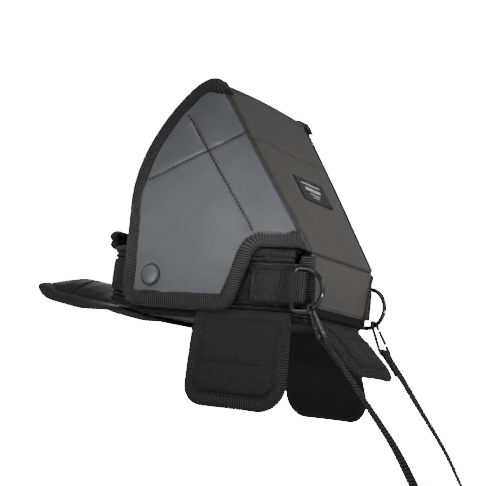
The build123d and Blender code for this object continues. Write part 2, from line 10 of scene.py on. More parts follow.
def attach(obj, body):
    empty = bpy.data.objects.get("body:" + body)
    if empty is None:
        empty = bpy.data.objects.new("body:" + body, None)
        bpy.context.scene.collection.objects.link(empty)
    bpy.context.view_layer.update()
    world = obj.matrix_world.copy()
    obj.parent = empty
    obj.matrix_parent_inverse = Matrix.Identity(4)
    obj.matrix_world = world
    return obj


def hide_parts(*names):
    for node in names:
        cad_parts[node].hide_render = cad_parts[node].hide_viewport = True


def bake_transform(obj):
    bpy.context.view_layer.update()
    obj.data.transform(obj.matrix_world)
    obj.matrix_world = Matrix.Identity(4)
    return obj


# Looks of a motorcycle tank bag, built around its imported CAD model. Lengths are millimetres in this
# script and become metres only when a mesh is made. +X forward, +Y left, +Z up. One side is drawn on
# the right and mirrored for the left. A shape is a tuple of points, faces and, where it has one, uv.
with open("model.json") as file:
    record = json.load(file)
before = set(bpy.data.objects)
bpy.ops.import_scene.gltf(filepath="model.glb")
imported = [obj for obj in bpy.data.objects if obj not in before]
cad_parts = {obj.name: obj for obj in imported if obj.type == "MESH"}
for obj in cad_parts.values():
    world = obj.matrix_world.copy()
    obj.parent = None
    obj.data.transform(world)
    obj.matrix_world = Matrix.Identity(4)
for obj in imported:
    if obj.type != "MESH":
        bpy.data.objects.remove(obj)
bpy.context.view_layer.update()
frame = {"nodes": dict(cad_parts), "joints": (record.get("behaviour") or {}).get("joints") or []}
MM = 0.001
JOINTS = {j["name"]: j for j in frame["joints"]}
UP = np.array([0.0, 0.0, 1.0])
MIRROR = np.array([1.0, -1.0, 1.0])
FULL_TURN = 2 * math.pi

# ---- sizes shared by several pieces
ROLL_R = 2.3             # folded leatherette edges
RIB_PITCH = 2.05         # cords of the grosgrain binding
RIB_STEPS = 5            # mesh rows per cord
RIB_H = 0.7
BIND_W = 12.5
FLAP_T = 3.6
SLOPE_X = -50.0          # behind this the underside rises
SLOPE = 12.0 / 55.0
LOWER_TOP = 48.6         # top of the lower bag, which follows the rising underside
FRONT_X = 105.0          # front face of the bag, and the hood's lower crease
CREASE_Z = 59.0
MIDDLE_LEN = 116.0       # hood, from the lower crease to the upper crease
HOOD_LEN = 174.0
HOOD_HALF = 52.5         # half width at the lower crease
HOOD_FLARE = 10.5 / 172  # growth of that half width up the slope
BULGE = 4.2              # the hood's corners stand out this far from the upper crease up
TAPER = math.radians(6.5)
LEAN = math.radians(34.4)


# ---- small geometry helpers
def vec(*values):
    return np.array(values, float)


def unit(v):
    return v / np.linalg.norm(v)


def units(rows):
    """Each row scaled to length 1."""
    return rows / np.linalg.norm(rows, axis=1, keepdims=True)


def columns(*parts):
    """One array from its columns: numbers, one value per row, or blocks of columns."""
    rows = max([len(p) for p in parts if np.ndim(p)], default=1)
    return np.column_stack([p if np.ndim(p) else np.full(rows, float(p)) for p in parts])


def smooth(x):
    """Smoothstep of values clipped to 0..1."""
    t = np.clip(x, 0.0, 1.0)
    return t * t * (3 - 2 * t)


def peak(x, width):
    """1 at x = 0, fading to 0 over about twice the width."""
    return np.exp(-((x / width) ** 2))


def circle(count):
    """Even points of the unit circle."""
    angles = np.linspace(0, FULL_TURN, count, endpoint=False)
    return columns(np.cos(angles), np.sin(angles))


def ripple(p, wavelength, seed):
    """Soft, repeatable unevenness of about -1..1 over points p."""
    rng = np.random.default_rng(seed)
    total = np.zeros(len(p))
    for _ in range(7):
        direction = unit(rng.normal(size=3))
        length = wavelength * rng.uniform(0.6, 1.6)
        total += np.sin(p @ direction * (FULL_TURN / length) + rng.uniform(0, 6.28))
    return total / 4.0


def waves(u, v, wavelength, seed):
    """The same unevenness over a plane."""
    return ripple(columns(u, v, 0), wavelength, seed)


class Local:
    """A plane placed in the bag's frame. u and v lie in it, w stands out along n."""

    def __init__(self, origin, u, n):
        self.o = np.array(origin, float)
        self.n = unit(np.array(n, float))
        u = np.array(u, float)
        self.u = unit(u - (u @ self.n) * self.n)
        self.v = np.cross(self.n, self.u)

    def world(self, *parts):
        """Points of the bag's frame, from columns of u, v and w."""
        uvw = columns(*parts)
        return self.o + uvw[:, :1] * self.u + uvw[:, 1:2] * self.v + uvw[:, 2:3] * self.n

    def local(self, p):
        d = np.atleast_2d(p) - self.o
        return np.stack([d @ self.u, d @ self.v, d @ self.n], 1)

    def set(self, shape):
        """The same shape, moved from this plane's own frame into the bag's."""
        return self.world(shape[0]), *shape[1:]


AHEAD = vec(math.cos(TAPER), math.sin(TAPER), 0)
OUT = vec(math.sin(TAPER), -math.cos(TAPER), 0)
SIDE = Local((102, -46, 0), AHEAD, OUT)
WING = Local((FRONT_X, -HOOD_HALF, CREASE_Z), AHEAD, OUT)
HOOD = Local((FRONT_X, 0, CREASE_Z), (0, 1, 0), (math.cos(LEAN), 0, math.sin(LEAN)))


def joint_at(name):
    return np.array(JOINTS[name]["pos_m"]) / MM


def area_of(loop):
    x, y = loop[:, 0], loop[:, 1]
    return 0.5 * np.sum(x * np.roll(y, -1) - y * np.roll(x, -1))


def ring_of(loop):
    """A loop with its first point repeated at its end."""
    return np.vstack([loop, loop[:1]])


def distances(path):
    """How far along an open path each of its points lies."""
    return np.concatenate([[0], np.cumsum(np.linalg.norm(np.diff(path, axis=0), axis=1))])


def resample(path, step, closed):
    """Even points along a path, with the distance of each from its start."""
    ring = ring_of(path) if closed else path
    at = distances(ring)
    want = np.linspace(0, at[-1], max(int(round(at[-1] / step)), 3) + 1)
    if closed:
        want = want[:-1]
    return np.stack([np.interp(want, at, ring[:, k]) for k in range(ring.shape[1])], 1), want


def with_sides(path, first, second, step, closed):
    """Even points along a path, with its two side directions there and the distance of each."""
    first, second = (np.broadcast_to(d, path.shape) for d in (first, second))
    rows, at = resample(np.hstack([path, first, second]), step, closed)
    return rows[:, :3], units(rows[:, 3:6]), units(rows[:, 6:9]), at


def tangents(path, closed):
    step = np.roll(path, -1, 0) - np.roll(path, 1, 0) if closed else np.gradient(path, axis=0)
    return step / np.maximum(np.linalg.norm(step, axis=1, keepdims=True), 1e-9)


def soften(values, closed, rounds):
    """Average each row with its neighbours, to round corners."""
    for _ in range(rounds):
        if closed:
            values = (np.roll(values, 1, 0) + 2 * values + np.roll(values, -1, 0)) / 4
        else:
            inner = (values[:-2] + 2 * values[1:-1] + values[2:]) / 4
            values = np.vstack([values[:1], inner, values[-1:]])
    return values


def open_run(keep):
    """Indices of the one unbroken run of a closed loop's points that are kept, in order."""
    order = np.roll(np.arange(len(keep)), -int(np.argmax(~keep)))
    return order[keep[order]]


def left_of(directions):
    """2-D directions turned a quarter turn to the left: inward from an anticlockwise loop."""
    return np.stack([-directions[:, 1], directions[:, 0]], 1)


def inset_loop(loop, distance):
    """Anticlockwise 2-D loop drawn in by a distance."""
    return loop + left_of(tangents(loop, True)) * distance


def edge_distance(points, loop):
    """Distance of 2-D points from a closed loop."""
    best = np.full(len(points), 1e9)
    for p, q in zip(loop, np.roll(loop, -1, 0)):
        d = q - p
        t = np.clip(((points - p) @ d) / max(d @ d, 1e-9), 0, 1)
        best = np.minimum(best, np.linalg.norm(points - p - t[:, None] * d, axis=1))
    return best


def inside(points, loop):
    """Which 2-D points lie inside a closed loop."""
    x, y = points[:, 0], points[:, 1]
    hit = np.zeros(len(points), bool)
    for (x0, y0), (x1, y1) in zip(loop, np.roll(loop, -1, 0)):
        if y0 != y1:
            hit ^= ((y0 > y) != (y1 > y)) & (x < (x1 - x0) * (y - y0) / (y1 - y0) + x0)
    return hit


def rounded(corners, radii, step=1.5):
    """Closed loop through the corners, each rounded by its radius."""
    out = []
    corners = np.array(corners, float)
    for i, (p, r) in enumerate(zip(corners, radii)):
        if r < 0.01:
            out.append(p)
            continue
        to_a = unit(corners[i - 1] - p)
        to_b = unit(corners[(i + 1) % len(corners)] - p)
        half = math.acos(np.clip(to_a @ to_b, -1, 1)) / 2
        centre = p + unit(to_a + to_b) * r / math.sin(half)
        start = p + to_a * r / math.tan(half) - centre
        end = p + to_b * r / math.tan(half) - centre
        turn = math.atan2(start[0] * end[1] - start[1] * end[0], start @ end)
        for t in np.linspace(0, 1, max(int(r * abs(turn) / step), 4) + 1):
            c, s = math.cos(turn * t), math.sin(turn * t)
            out.append(centre + vec(c * start[0] - s * start[1], s * start[0] + c * start[1]))
    return np.array(out)


def box(low, high, radius, step=1.5):
    """Rounded rectangle between two opposite corners."""
    corners = [low, (high[0], low[1]), high, (low[0], high[1])]
    return rounded(corners, (radius,) * 4, step)


# ---- shapes
def flipped(faces):
    return [tuple(reversed(face)) for face in faces]


def merged(shapes):
    """Join shapes into one, without uv."""
    points, faces, offset = [], [], 0
    for p, f, *_ in shapes:
        points.append(p)
        faces += [tuple(i + offset for i in face) for face in f]
        offset += len(p)
    return np.vstack(points), faces


def sheet(loop, step, front, back):
    """Closed sheet over a 2-D loop. The height of each of its two faces is a number, or a function
    of u, v and the distance from the loop."""
    rim, _ = resample(loop, step, True)
    low, high = rim.min(0), rim.max(0)
    rows = enumerate(np.arange(low[1], high[1], step * 0.866))
    grid = np.vstack([columns(np.arange(low[0] + (k % 2) * step / 2, high[0], step), v) for k, v in rows])
    grid = grid[inside(grid, rim)]
    grid = grid[edge_distance(grid, rim) > 0.55 * step]
    edges = [(i, (i + 1) % len(rim)) for i in range(len(rim))]
    out = delaunay_2d_cdt([tuple(p) for p in np.vstack([rim, grid])], edges, [], 1, 1e-7)
    flat = np.array([tuple(p) for p in out[0]])
    triangles = [tuple(f) for f in out[2]]
    if area_of(flat[list(triangles[0])]) < 0:
        triangles = flipped(triangles)
    u, v, d = flat[:, 0], flat[:, 1], edge_distance(flat, rim)
    points = np.vstack([columns(flat, h(u, v, d) if callable(h) else h) for h in (front, back)])
    count = len(flat)
    used = {(a, b): True for tri in triangles for a, b in zip(tri, tri[1:] + tri[:1])}
    faces = triangles + [tuple(i + count for i in face) for face in flipped(triangles)]
    faces += [(b, a, a + count, b + count) for a, b in used if (b, a) not in used]
    return points, faces, np.vstack([flat, flat])


def sweep(path, first, second, profile, closed):
    """Sweep an outline of (a, b) along a path: a along the first direction, b along the second.
    Outline and directions are the same all along, or given for each point of the path."""
    profile = np.array(profile, float)
    rows, cols = len(path), profile.shape[-2]
    first, second = (np.broadcast_to(d, path.shape)[:, None] for d in (first, second))
    points = path[:, None] + profile[..., :1] * first + profile[..., 1:] * second
    faces = []
    for i in range(rows if closed else rows - 1):
        j = (i + 1) % rows
        for k in range(cols):
            m = (k + 1) % cols
            faces.append((i * cols + k, j * cols + k, j * cols + m, i * cols + m))
    if not closed:
        faces.append(tuple(range(cols)))
        faces.append(tuple((rows - 1) * cols + k for k in reversed(range(cols))))
    return points.reshape(-1, 3), faces


def tube(path, radius, hint, segments=14, squash=1.0, closed=False):
    """Round tube along a path. Its section starts near the hint, turns as little as it can, and is
    flattened across the hint by squash."""
    t = tangents(path, closed)
    side = np.zeros_like(path)
    current = np.array(hint, float)
    for i, direction in enumerate(t):
        current = unit(current - (current @ direction) * direction)
        side[i] = current
    return sweep(path, side, np.cross(t, side), circle(segments) * (radius, radius * squash), closed)


def lathe(rings, place):
    """Turned shape: rings of (radius, height) around a Local's n axis, closed at both ends."""
    radii, heights = np.array(rings, float).T
    profile = circle(40) * radii[:, None, None]
    points, faces = sweep(place.world(0, 0, heights), place.u, place.v, profile, False)
    return points, flipped(faces)


def cords(phase, power=0.7):
    """Height of cords laid side by side, one per unit of phase, about a mean near 0."""
    return np.abs(np.sin(math.pi * phase)) ** power - 0.6


def ribbed_tape(path, inward, normal, h, width):
    """Grosgrain binding folded over an edge of half thickness h. The path is the edge itself."""
    path, inward, normal, at = with_sides(path, inward, normal, RIB_PITCH / RIB_STEPS, False)
    # one face of the tape: inward, outward, how far a cord rises straight out, how strong it is
    half = np.array([
        (width, h - 0.7, 0, 0), (width - 0.1, h + 0.15, 0.2, 0.4), (width * 0.86, h + 0.5, 1, 0.9),
        (width * 0.62, h + 0.85, 1, 1), (width * 0.36, h + 0.9, 1, 1), (width * 0.14, h + 0.65, 1, 0.9),
        (0.1, h * 0.92 + 0.2, 0.7, 0.8), (-0.75, h * 0.45, 0, 0.8),
    ])
    a, b, lift_b, weight = np.vstack([half, [(-0.95, 0, 0, 0.8)], half[::-1] * (1, -1, -1, 1)]).T
    lift_a = -np.sqrt(np.clip(1 - lift_b**2, 0, 1)) * (a < 1)
    slant = 0.22
    phase = (at[:, None] + slant * a * np.sign(b)) / RIB_PITCH
    rib = RIB_H * cords(phase) * weight
    points, faces = sweep(path, inward, normal, np.stack([a + rib * lift_a, b + rib * lift_b], 2), False)
    return points, faces, columns(phase.ravel() * RIB_PITCH, np.tile(a + (b < 0) * 30, len(path)))


def ribbed(path, first, second, outline, weight, closed=False):
    """Corded tape with any outline, swept along a path."""
    path, first, second, at = with_sides(path, first, second, RIB_PITCH / RIB_STEPS, closed)
    spacing = 1.1
    ring, _ = resample(np.array(outline, float), spacing, True)
    if area_of(ring) < 0:
        ring = ring[::-1]
    lift = -left_of(tangents(ring, True))
    rib = RIB_H * weight * cords(at / RIB_PITCH)
    points, faces = sweep(path, first, second, ring + rib[:, None, None] * lift, closed)
    uv = columns(np.repeat(at, len(ring)), np.tile(np.arange(len(ring)) * spacing, len(path)))
    return points, faces, uv


def webbing(path, across, normal, half, thickness, pitch):
    """Woven strap along a path, with cords across its width and rounded selvedges."""
    path, across, normal, at = with_sides(path, across, normal, pitch / 5, False)
    a = np.concatenate([[-1, -0.97, -0.9], np.linspace(-0.8, 0.8, 9), [0.9, 0.97, 1]]) * half
    lip = thickness / 2 * np.array([0.2, 0.7, 0.95] + [1.0] * 9 + [0.95, 0.7, 0.2])
    ring = np.vstack([columns(a, lip), columns(a, -lip)[::-1]])[::-1]
    weight = np.abs(ring[:, 1]) / lip.max()
    profile = np.repeat(ring[None], len(path), 0)
    profile[:, :, 1] += (pitch * 0.16 * cords(at / pitch, 0.8))[:, None] * (weight * np.sign(ring[:, 1]))
    points, faces = sweep(path, across, normal, profile, False)
    uv = columns(np.repeat(at * RIB_PITCH / pitch, len(ring)), np.tile(ring[:, 0], len(path)))
    return points, faces, uv


def stitches(path, normal, pitch=3.1, length=2.0, radius=0.36):
    """Row of separate thread stitches lying along a path, each a spindle sunk slightly into the cloth."""
    sink = 0.05
    marks, at = resample(path, pitch, False)
    along, start = tangents(path, False), distances(path)
    marks_t = np.stack([np.interp(at, start, along[:, k]) for k in range(3)], 1)
    stations = vec(-0.5, -0.42, -0.2, 0.2, 0.42, 0.5)[:, None] * length
    swell = vec(0.25, 0.75, 1.0, 1.0, 0.75, 0.25)[:, None] * radius
    parts = []
    for p, t in zip(marks, units(marks_t)):
        n = unit(normal - (normal @ t) * t)
        centres = p + stations * t + (swell * 0.55 - sink) * n
        points, faces = sweep(centres, np.cross(t, n), n, circle(7) * swell[:, :, None], False)
        parts.append((points, flipped(faces)))
    return merged(parts)


def long_stitches(path, normals, count):
    """Stitches along a curved path, in lengths of so many points, each with one normal."""
    normals = np.broadcast_to(normals, path.shape)
    last, starts = len(path) - 1, range(0, len(path) - 4, count)
    return merged([stitches(path[s:s + count + 1], normals[min(s + count // 2, last)]) for s in starts])


# ---- materials
def node(tree, kind, inputs):
    """New shader node. Each input takes a plain value or the output of another node."""
    made = tree.nodes.new(kind)
    for key, value in inputs.items():
        if isinstance(value, bpy.types.NodeSocket):
            tree.links.new(value, made.inputs[key])
        else:
            made.inputs[key].default_value = value
    return made


def texture(tree, where, kind, size):
    """Height pattern of one kind: noise, grain, twill or cords."""
    if kind == "noise":
        values = {"Scale": 1 / (size * MM), "Detail": 4, "Vector": where.outputs["Object"]}
        return node(tree, "ShaderNodeTexNoise", values).outputs["Fac"]
    if kind == "grain":
        values = {"Scale": 1 / (size * MM), "Vector": where.outputs["Object"]}
        made = node(tree, "ShaderNodeTexVoronoi", values)
        made.feature = "SMOOTH_F1"
        return made.outputs["Distance"]
    turned = {"Rotation": (0, 0, 0.9 if kind == "twill" else 0.0), "Vector": where.outputs["UV"]}
    vector = node(tree, "ShaderNodeMapping", turned).outputs["Vector"]
    bands_per_mm = 0.314
    values = {"Scale": bands_per_mm / size, "Distortion": 0.0 if kind == "cords" else 0.4, "Vector": vector}
    return node(tree, "ShaderNodeTexWave", values).outputs["Fac"]


def finish(name, colour, rough, bumps, metal=0.0, coat=0.0, sheen=0.0, mottle=0.0, clear=0.0, painted_cord_light=0.0):
    """Procedural material. Each bump is (kind, size in mm, height in mm). With mottle the colour and
    roughness vary. The last argument paints cords into the colour: a painted highlight of that many
    times the colour on their crests, and painted shade in their gaps."""
    material = bpy.data.materials.new(name)
    material.use_nodes = True
    tree = material.node_tree
    shader = tree.nodes["Principled BSDF"]
    for key, value in {
        "Base Color": (*colour, 1), "Roughness": rough, "Metallic": metal, "Transmission Weight": clear,
        "Coat Weight": coat, "Coat Roughness": 0.12, "Sheen Weight": sheen, "Sheen Roughness": 0.5,
        "Specular IOR Level": 0.22 if sheen else 0.5,
    }.items():
        shader.inputs[key].default_value = value
    where = tree.nodes.new("ShaderNodeTexCoord")

    def shade(factor, low, high):
        """Let the colour run from low to high times its own value."""
        first, second = ((*[min(c * k, 1) for c in colour], 1) for k in (low, high))
        mix = node(tree, "ShaderNodeMix", {0: factor, 6: first, 7: second})
        mix.data_type = "RGBA"
        tree.links.new(mix.outputs[2], shader.inputs["Base Color"])

    if mottle:
        values = {"Scale": 70, "Detail": 5, "Vector": where.outputs["Object"]}
        patches = node(tree, "ShaderNodeTexNoise", values).outputs["Fac"]
        shade(patches, 1 - mottle, 1 + mottle)
        values = {"To Min": rough - 0.07, "To Max": rough + 0.07, "Value": patches}
        spread = node(tree, "ShaderNodeMapRange", values)
        tree.links.new(spread.outputs["Result"], shader.inputs["Roughness"])
    # painted highlight on the crests of the cords and painted shade in the gaps between them
    if painted_cord_light:
        shade(texture(tree, where, "cords", RIB_PITCH), 0.03, painted_cord_light)
    below = {}
    for kind, size, height in bumps:
        values = {"Distance": height * MM, "Height": texture(tree, where, kind, size), **below}
        below = {"Normal": node(tree, "ShaderNodeBump", values).outputs["Normal"]}
    tree.links.new(below["Normal"], shader.inputs["Normal"])
    return material


LEATHER = (("noise", 9, 0.22), ("grain", 0.9, 0.1))
FINISHES = {
    "wing_leather": ((0.07, 0.076, 0.088), 0.43, LEATHER, dict(coat=0.08, mottle=0.12)),
    "cover_leather": ((0.068, 0.062, 0.055), 0.45, LEATHER, dict(coat=0.08, mottle=0.22)),
    # folded edges: the panels' own leatherette, darkened as painted shade in the folds
    "fold_leather_painted_shade": ((0.022, 0.022, 0.023), 0.5, LEATHER, dict(mottle=0.1)),
    # binding and webbing: their cords carry painted highlights on the crests and painted shade in the gaps
    "binding": ((0.017, 0.017, 0.0175), 0.6, (("noise", 0.5, 0.08),), dict(sheen=0.05, painted_cord_light=2.7)),
    "webbing": ((0.014, 0.014, 0.0145), 0.6, (("noise", 0.6, 0.1),), dict(sheen=0.05, painted_cord_light=2.6)),
    "nylon": ((0.0105, 0.0108, 0.0115), 0.6, (("noise", 5, 0.25), ("noise", 0.5, 0.1)), dict(sheen=0.1)),
    "flap_nylon": (
        (0.019, 0.0195, 0.021), 0.6, (("noise", 7, 0.3), ("twill", 1.15, 0.14)),
        dict(sheen=0.05, mottle=0.15),
    ),
    "lining": ((0.022, 0.022, 0.024), 0.7, (("noise", 6, 0.3), ("noise", 0.6, 0.1)), dict(sheen=0.15)),
    "padding": ((0.02, 0.021, 0.023), 0.8, (("noise", 5, 0.3), ("noise", 0.7, 0.15)), dict(sheen=0.2)),
    "rubber": ((0.006, 0.006, 0.0065), 0.6, (("grain", 1.4, 0.12),), dict(sheen=0.02, mottle=0.1)),
    "piping": ((0.006, 0.006, 0.0065), 0.32, (("noise", 1.5, 0.06),), {}),
    "thread": ((0.02, 0.02, 0.022), 0.5, (("noise", 0.3, 0.05),), {}),
    "dark_thread": ((0.004, 0.004, 0.0045), 0.45, (("noise", 0.3, 0.05),), {}),
    "zip_tape": ((0.007, 0.007, 0.0075), 0.7, (("noise", 0.6, 0.1),), dict(sheen=0.1)),
    "zip_coil": ((0.03, 0.036, 0.038), 0.3, (("noise", 0.5, 0.02),), dict(coat=0.3)),
    "black_metal": ((0.008, 0.008, 0.009), 0.17, (("noise", 6, 0.02),), dict(coat=0.6)),
    "zip_metal": ((0.02, 0.02, 0.022), 0.3, (("noise", 2, 0.03),), dict(metal=0.4, coat=0.3)),
    "snap_cap": ((0.085, 0.092, 0.105), 0.34, (("noise", 3, 0.02),), dict(metal=0.2, coat=0.25)),
    "snap_rim": ((0.012, 0.013, 0.015), 0.4, (("noise", 2, 0.02),), dict(metal=0.3)),
    "clear_film": ((0.75, 0.8, 0.82), 0.1, (("noise", 22, 0.9),), dict(coat=0.4, clear=0.9)),
    "label": ((0.005, 0.005, 0.0055), 0.45, (("noise", 0.5, 0.06),), dict(sheen=0.1)),
    "label_mark": ((0.42, 0.42, 0.42), 0.6, (("noise", 0.4, 0.05),), {}),
    "board": ((0.03, 0.03, 0.03), 0.6, (("noise", 2, 0.1),), {}),
    "steel": ((0.3, 0.3, 0.32), 0.35, (("noise", 4, 0.05),), dict(metal=0.9)),
}
MAT = {name: finish(name, *main, **more) for name, (*main, more) in FINISHES.items()}

# the record's slot for each material that has one under another name, or has none
SLOTS = {
    "rubber": "rubber_sheet", "zip_tape": "zip", "zip_coil": "zip", "snap_rim": "snap_cap",
    "clear_film": "clear_window", "steel": "magnet",
    "thread": None, "dark_thread": None, "piping": None, "label_mark": None,
}


# ---- making pieces
def put(name, shape, material, body, nodes="", mirrored=False, slot=None):
    """Make a piece from a shape, in place of some CAD nodes. It rides on a body. Where body is a tuple of
    two bodies and two points, in metres, the piece rides on neither and only has its place baked into its
    mesh."""
    points, faces, *uv = shape
    if mirrored:
        points = points * MIRROR
        faces = flipped(faces)
    mesh = bpy.data.meshes.new(name)
    mesh.from_pydata((points * MM).tolist(), [], [tuple(int(i) for i in f) for f in faces])
    if uv:
        layer = mesh.uv_layers.new(name="UVMap")
        index = np.zeros(len(mesh.loops), int)
        mesh.loops.foreach_get("vertex_index", index)
        layer.data.foreach_set("uv", uv[0][index].ravel())
    mesh.polygons.foreach_set("use_smooth", [True] * len(mesh.polygons))
    mesh.materials.append(MAT[material])
    mesh.validate()
    mesh.update()
    obj = bpy.data.objects.new(name, mesh)
    bpy.context.scene.collection.objects.link(obj)
    if nodes:
        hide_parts(*nodes.split())
    slot = slot or SLOTS.get(material, material)
    if isinstance(body, tuple):
        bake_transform(obj)
    else:
        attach(obj, body)


def paint(name, material):
    """Give a CAD node that stays visible its material and smooth shading."""
    mesh = frame["nodes"][name].data
    mesh.materials.clear()
    mesh.materials.append(MAT[material])
    mesh.polygons.foreach_set("material_index", [0] * len(mesh.polygons))
    mesh.shade_smooth()
    mesh.set_sharp_from_angle(angle=math.radians(35))


# ---- pieces that run round the bag
def plan_loop(inset, step):
    """Bag outline seen from above, anticlockwise."""
    front, widest, rear, front_half = 102, -50, -105, 46
    half = front_half + (front - widest) * math.tan(TAPER)
    corners = [(front, -front_half), (front, front_half), (widest, half), (rear, half), (rear, -half),
               (widest, -half)]
    loop, _ = resample(rounded(corners, (5, 5, 60, 19, 19, 60)), step, True)
    return inset_loop(loop, inset)


def plan_ring(inset, step):
    """The same outline in 3-D, with its outward directions."""
    flat = plan_loop(inset, step)
    return columns(flat, 0), columns(-left_of(tangents(flat, True)), 0)


def settle(points):
    """Lift the rear of the lower bag onto its rising underside."""
    points = points.copy()
    low, z = np.clip((SLOPE_X - points[:, 0]) * SLOPE, 0, None), points[:, 2]
    points[:, 2] = np.where(z < LOWER_TOP, low + z * (1 - low / LOWER_TOP), z)
    return points


def band(name, rows, material, nodes, slack):
    """Ring-shaped band around the bag. rows are (outward, height) of its section."""
    step = 1.6
    path, outward = plan_ring(0, step)
    profile, _ = resample(np.array(rows, float), 0.9, True)
    points, faces = sweep(path, outward, UP, profile, True)
    height = profile[:, 1]
    middle = smooth((height - height.min()) / 5) * smooth((height.max() - height) / 5)
    offset = (ripple(points, 26, 3) + 0.6 * ripple(points, 9, 5)) * slack * np.tile(middle, len(path))
    points = settle(points + np.repeat(outward, len(profile), 0) * offset[:, None])
    uv = columns(np.repeat(np.arange(len(path)) * step, len(profile)), points[:, 2])
    put(name, (points, faces, uv), material, "bag", nodes)


def piping(name, z, outset, radius):
    """Piping that runs right round the bag."""
    points, faces = sweep(*plan_ring(0, 1.6), UP, circle(10) * radius + (outset, z), True)
    put(name, (settle(points), faces), "piping", "bag")


def ring_stitches(name, z, outset):
    """Row of stitches right round the bag."""
    path, outward = plan_ring(0, 1.6)
    path = settle(path + outward * outset + UP * z)
    put(name, long_stitches(ring_of(path), ring_of(outward), 12), "thread", "bag")


def zip_rows(name, tape, coil_heights, body, node_name, front_x, phase):
    """Half or whole zip: woven tape between two heights, and coils, behind a front limit."""
    step, coil_pitch, coil_r = 1.0, 1.45, 0.72
    path, outward = plan_ring(0, step)
    chosen = path[:, 0] < front_x
    order = open_run(chosen)
    run, out = path[order], outward[order]
    low, high = tape
    profile = [(-3.4, high), (-2.3, high), (-2.1, (low + high) / 2), (-2.3, low), (-3.4, low)]
    points, faces = sweep(run, out, UP, profile, chosen.all())
    uv = columns(np.repeat(np.arange(len(run)) * step, len(profile)), points[:, 2])
    put(f"{name}_tape", (settle(points), faces, uv), "zip_tape", body, node_name)
    for k, z in enumerate(coil_heights):
        line, side, top, at = with_sides(run + out * -1.35 + UP * z, out, UP, coil_pitch / 8, False)
        turn = at * FULL_TURN / coil_pitch + phase + k * math.pi
        line = line + side * (np.cos(turn) * coil_r * 0.8)[:, None] + top * (np.sin(turn) * coil_r)[:, None]
        points, faces = tube(line, 0.3, side[0], 5)
        put(f"{name}_coil_{k}", (settle(points), faces), "zip_coil", body)


# ---- base and wall
def build_base():
    paint("base_board", "board")
    points, *rest = sheet(
        plan_loop(2.4, 2.2), 5.0,
        lambda u, v, d: 7.6 - 1.2 * (1 - smooth(d / 3)),
        lambda u, v, d: 0.15 + 1.4 * (1 - smooth(d / 3)),
    )
    put("base_cushion", (settle(points), *rest), "rubber", "bag", "base_sheet base_pad")
    rim = [(-3, 0.5), (-1.6, 0.4), (-0.7, 1.2), (-0.3, 3.6), (-0.7, 6.0), (-1.5, 7.2), (-3, 7.6)]
    band("base_rim", rim, "rubber", "", 0.12)
    piping("base_piping", 7.6, -1.2, 1.1)
    piping("lower_seam_piping", 15.6, -0.5, 0.9)


def build_wall():
    outer = [(-0.9, 15.4), (0.1, 16.6), (0.6, 21), (0.9, 31), (0.6, 43), (0.1, 47.4), (-0.9, 48.5)]
    inner = [(-3.9, 48.5), (-3.9, 15.4)]
    band("wall_cloth", outer + inner, "nylon", "side_wall", 0.45)
    piping("upper_seam_piping", 48.3, -0.6, 0.95)
    ring_stitches("wall_stitch_low", 18.2, 0.35)
    ring_stitches("wall_stitch_high", 46.0, 0.35)
    band("lining_cloth", [(-4.1, 17), (-4.1, 48.3), (-4.9, 48.3), (-4.9, 17)], "lining", "", 0.25)
    floor = sheet(plan_loop(4.4, 2.5), 5.0, lambda u, v, d: 17.0 + 0.5 * waves(u, v, 30, 8), 16.2)
    put("floor_cloth", floor, "lining", "bag", "wall_lining")
    behind_hinge = 86.5
    zip_rows("lower_zip", (8.4, 15.0), (11.1, 12.3), "bag", "lower_zip_chain", math.inf, 0.0)
    zip_rows("upper_zip_wall", (48.8, 51.9), (51.9,), "bag", "upper_zip_wall_half", behind_hinge, 0.0)
    zip_rows("upper_zip_lid", (53.5, 55.7), (53.4,), "lid", "upper_zip_lid_half", behind_hinge, math.pi)


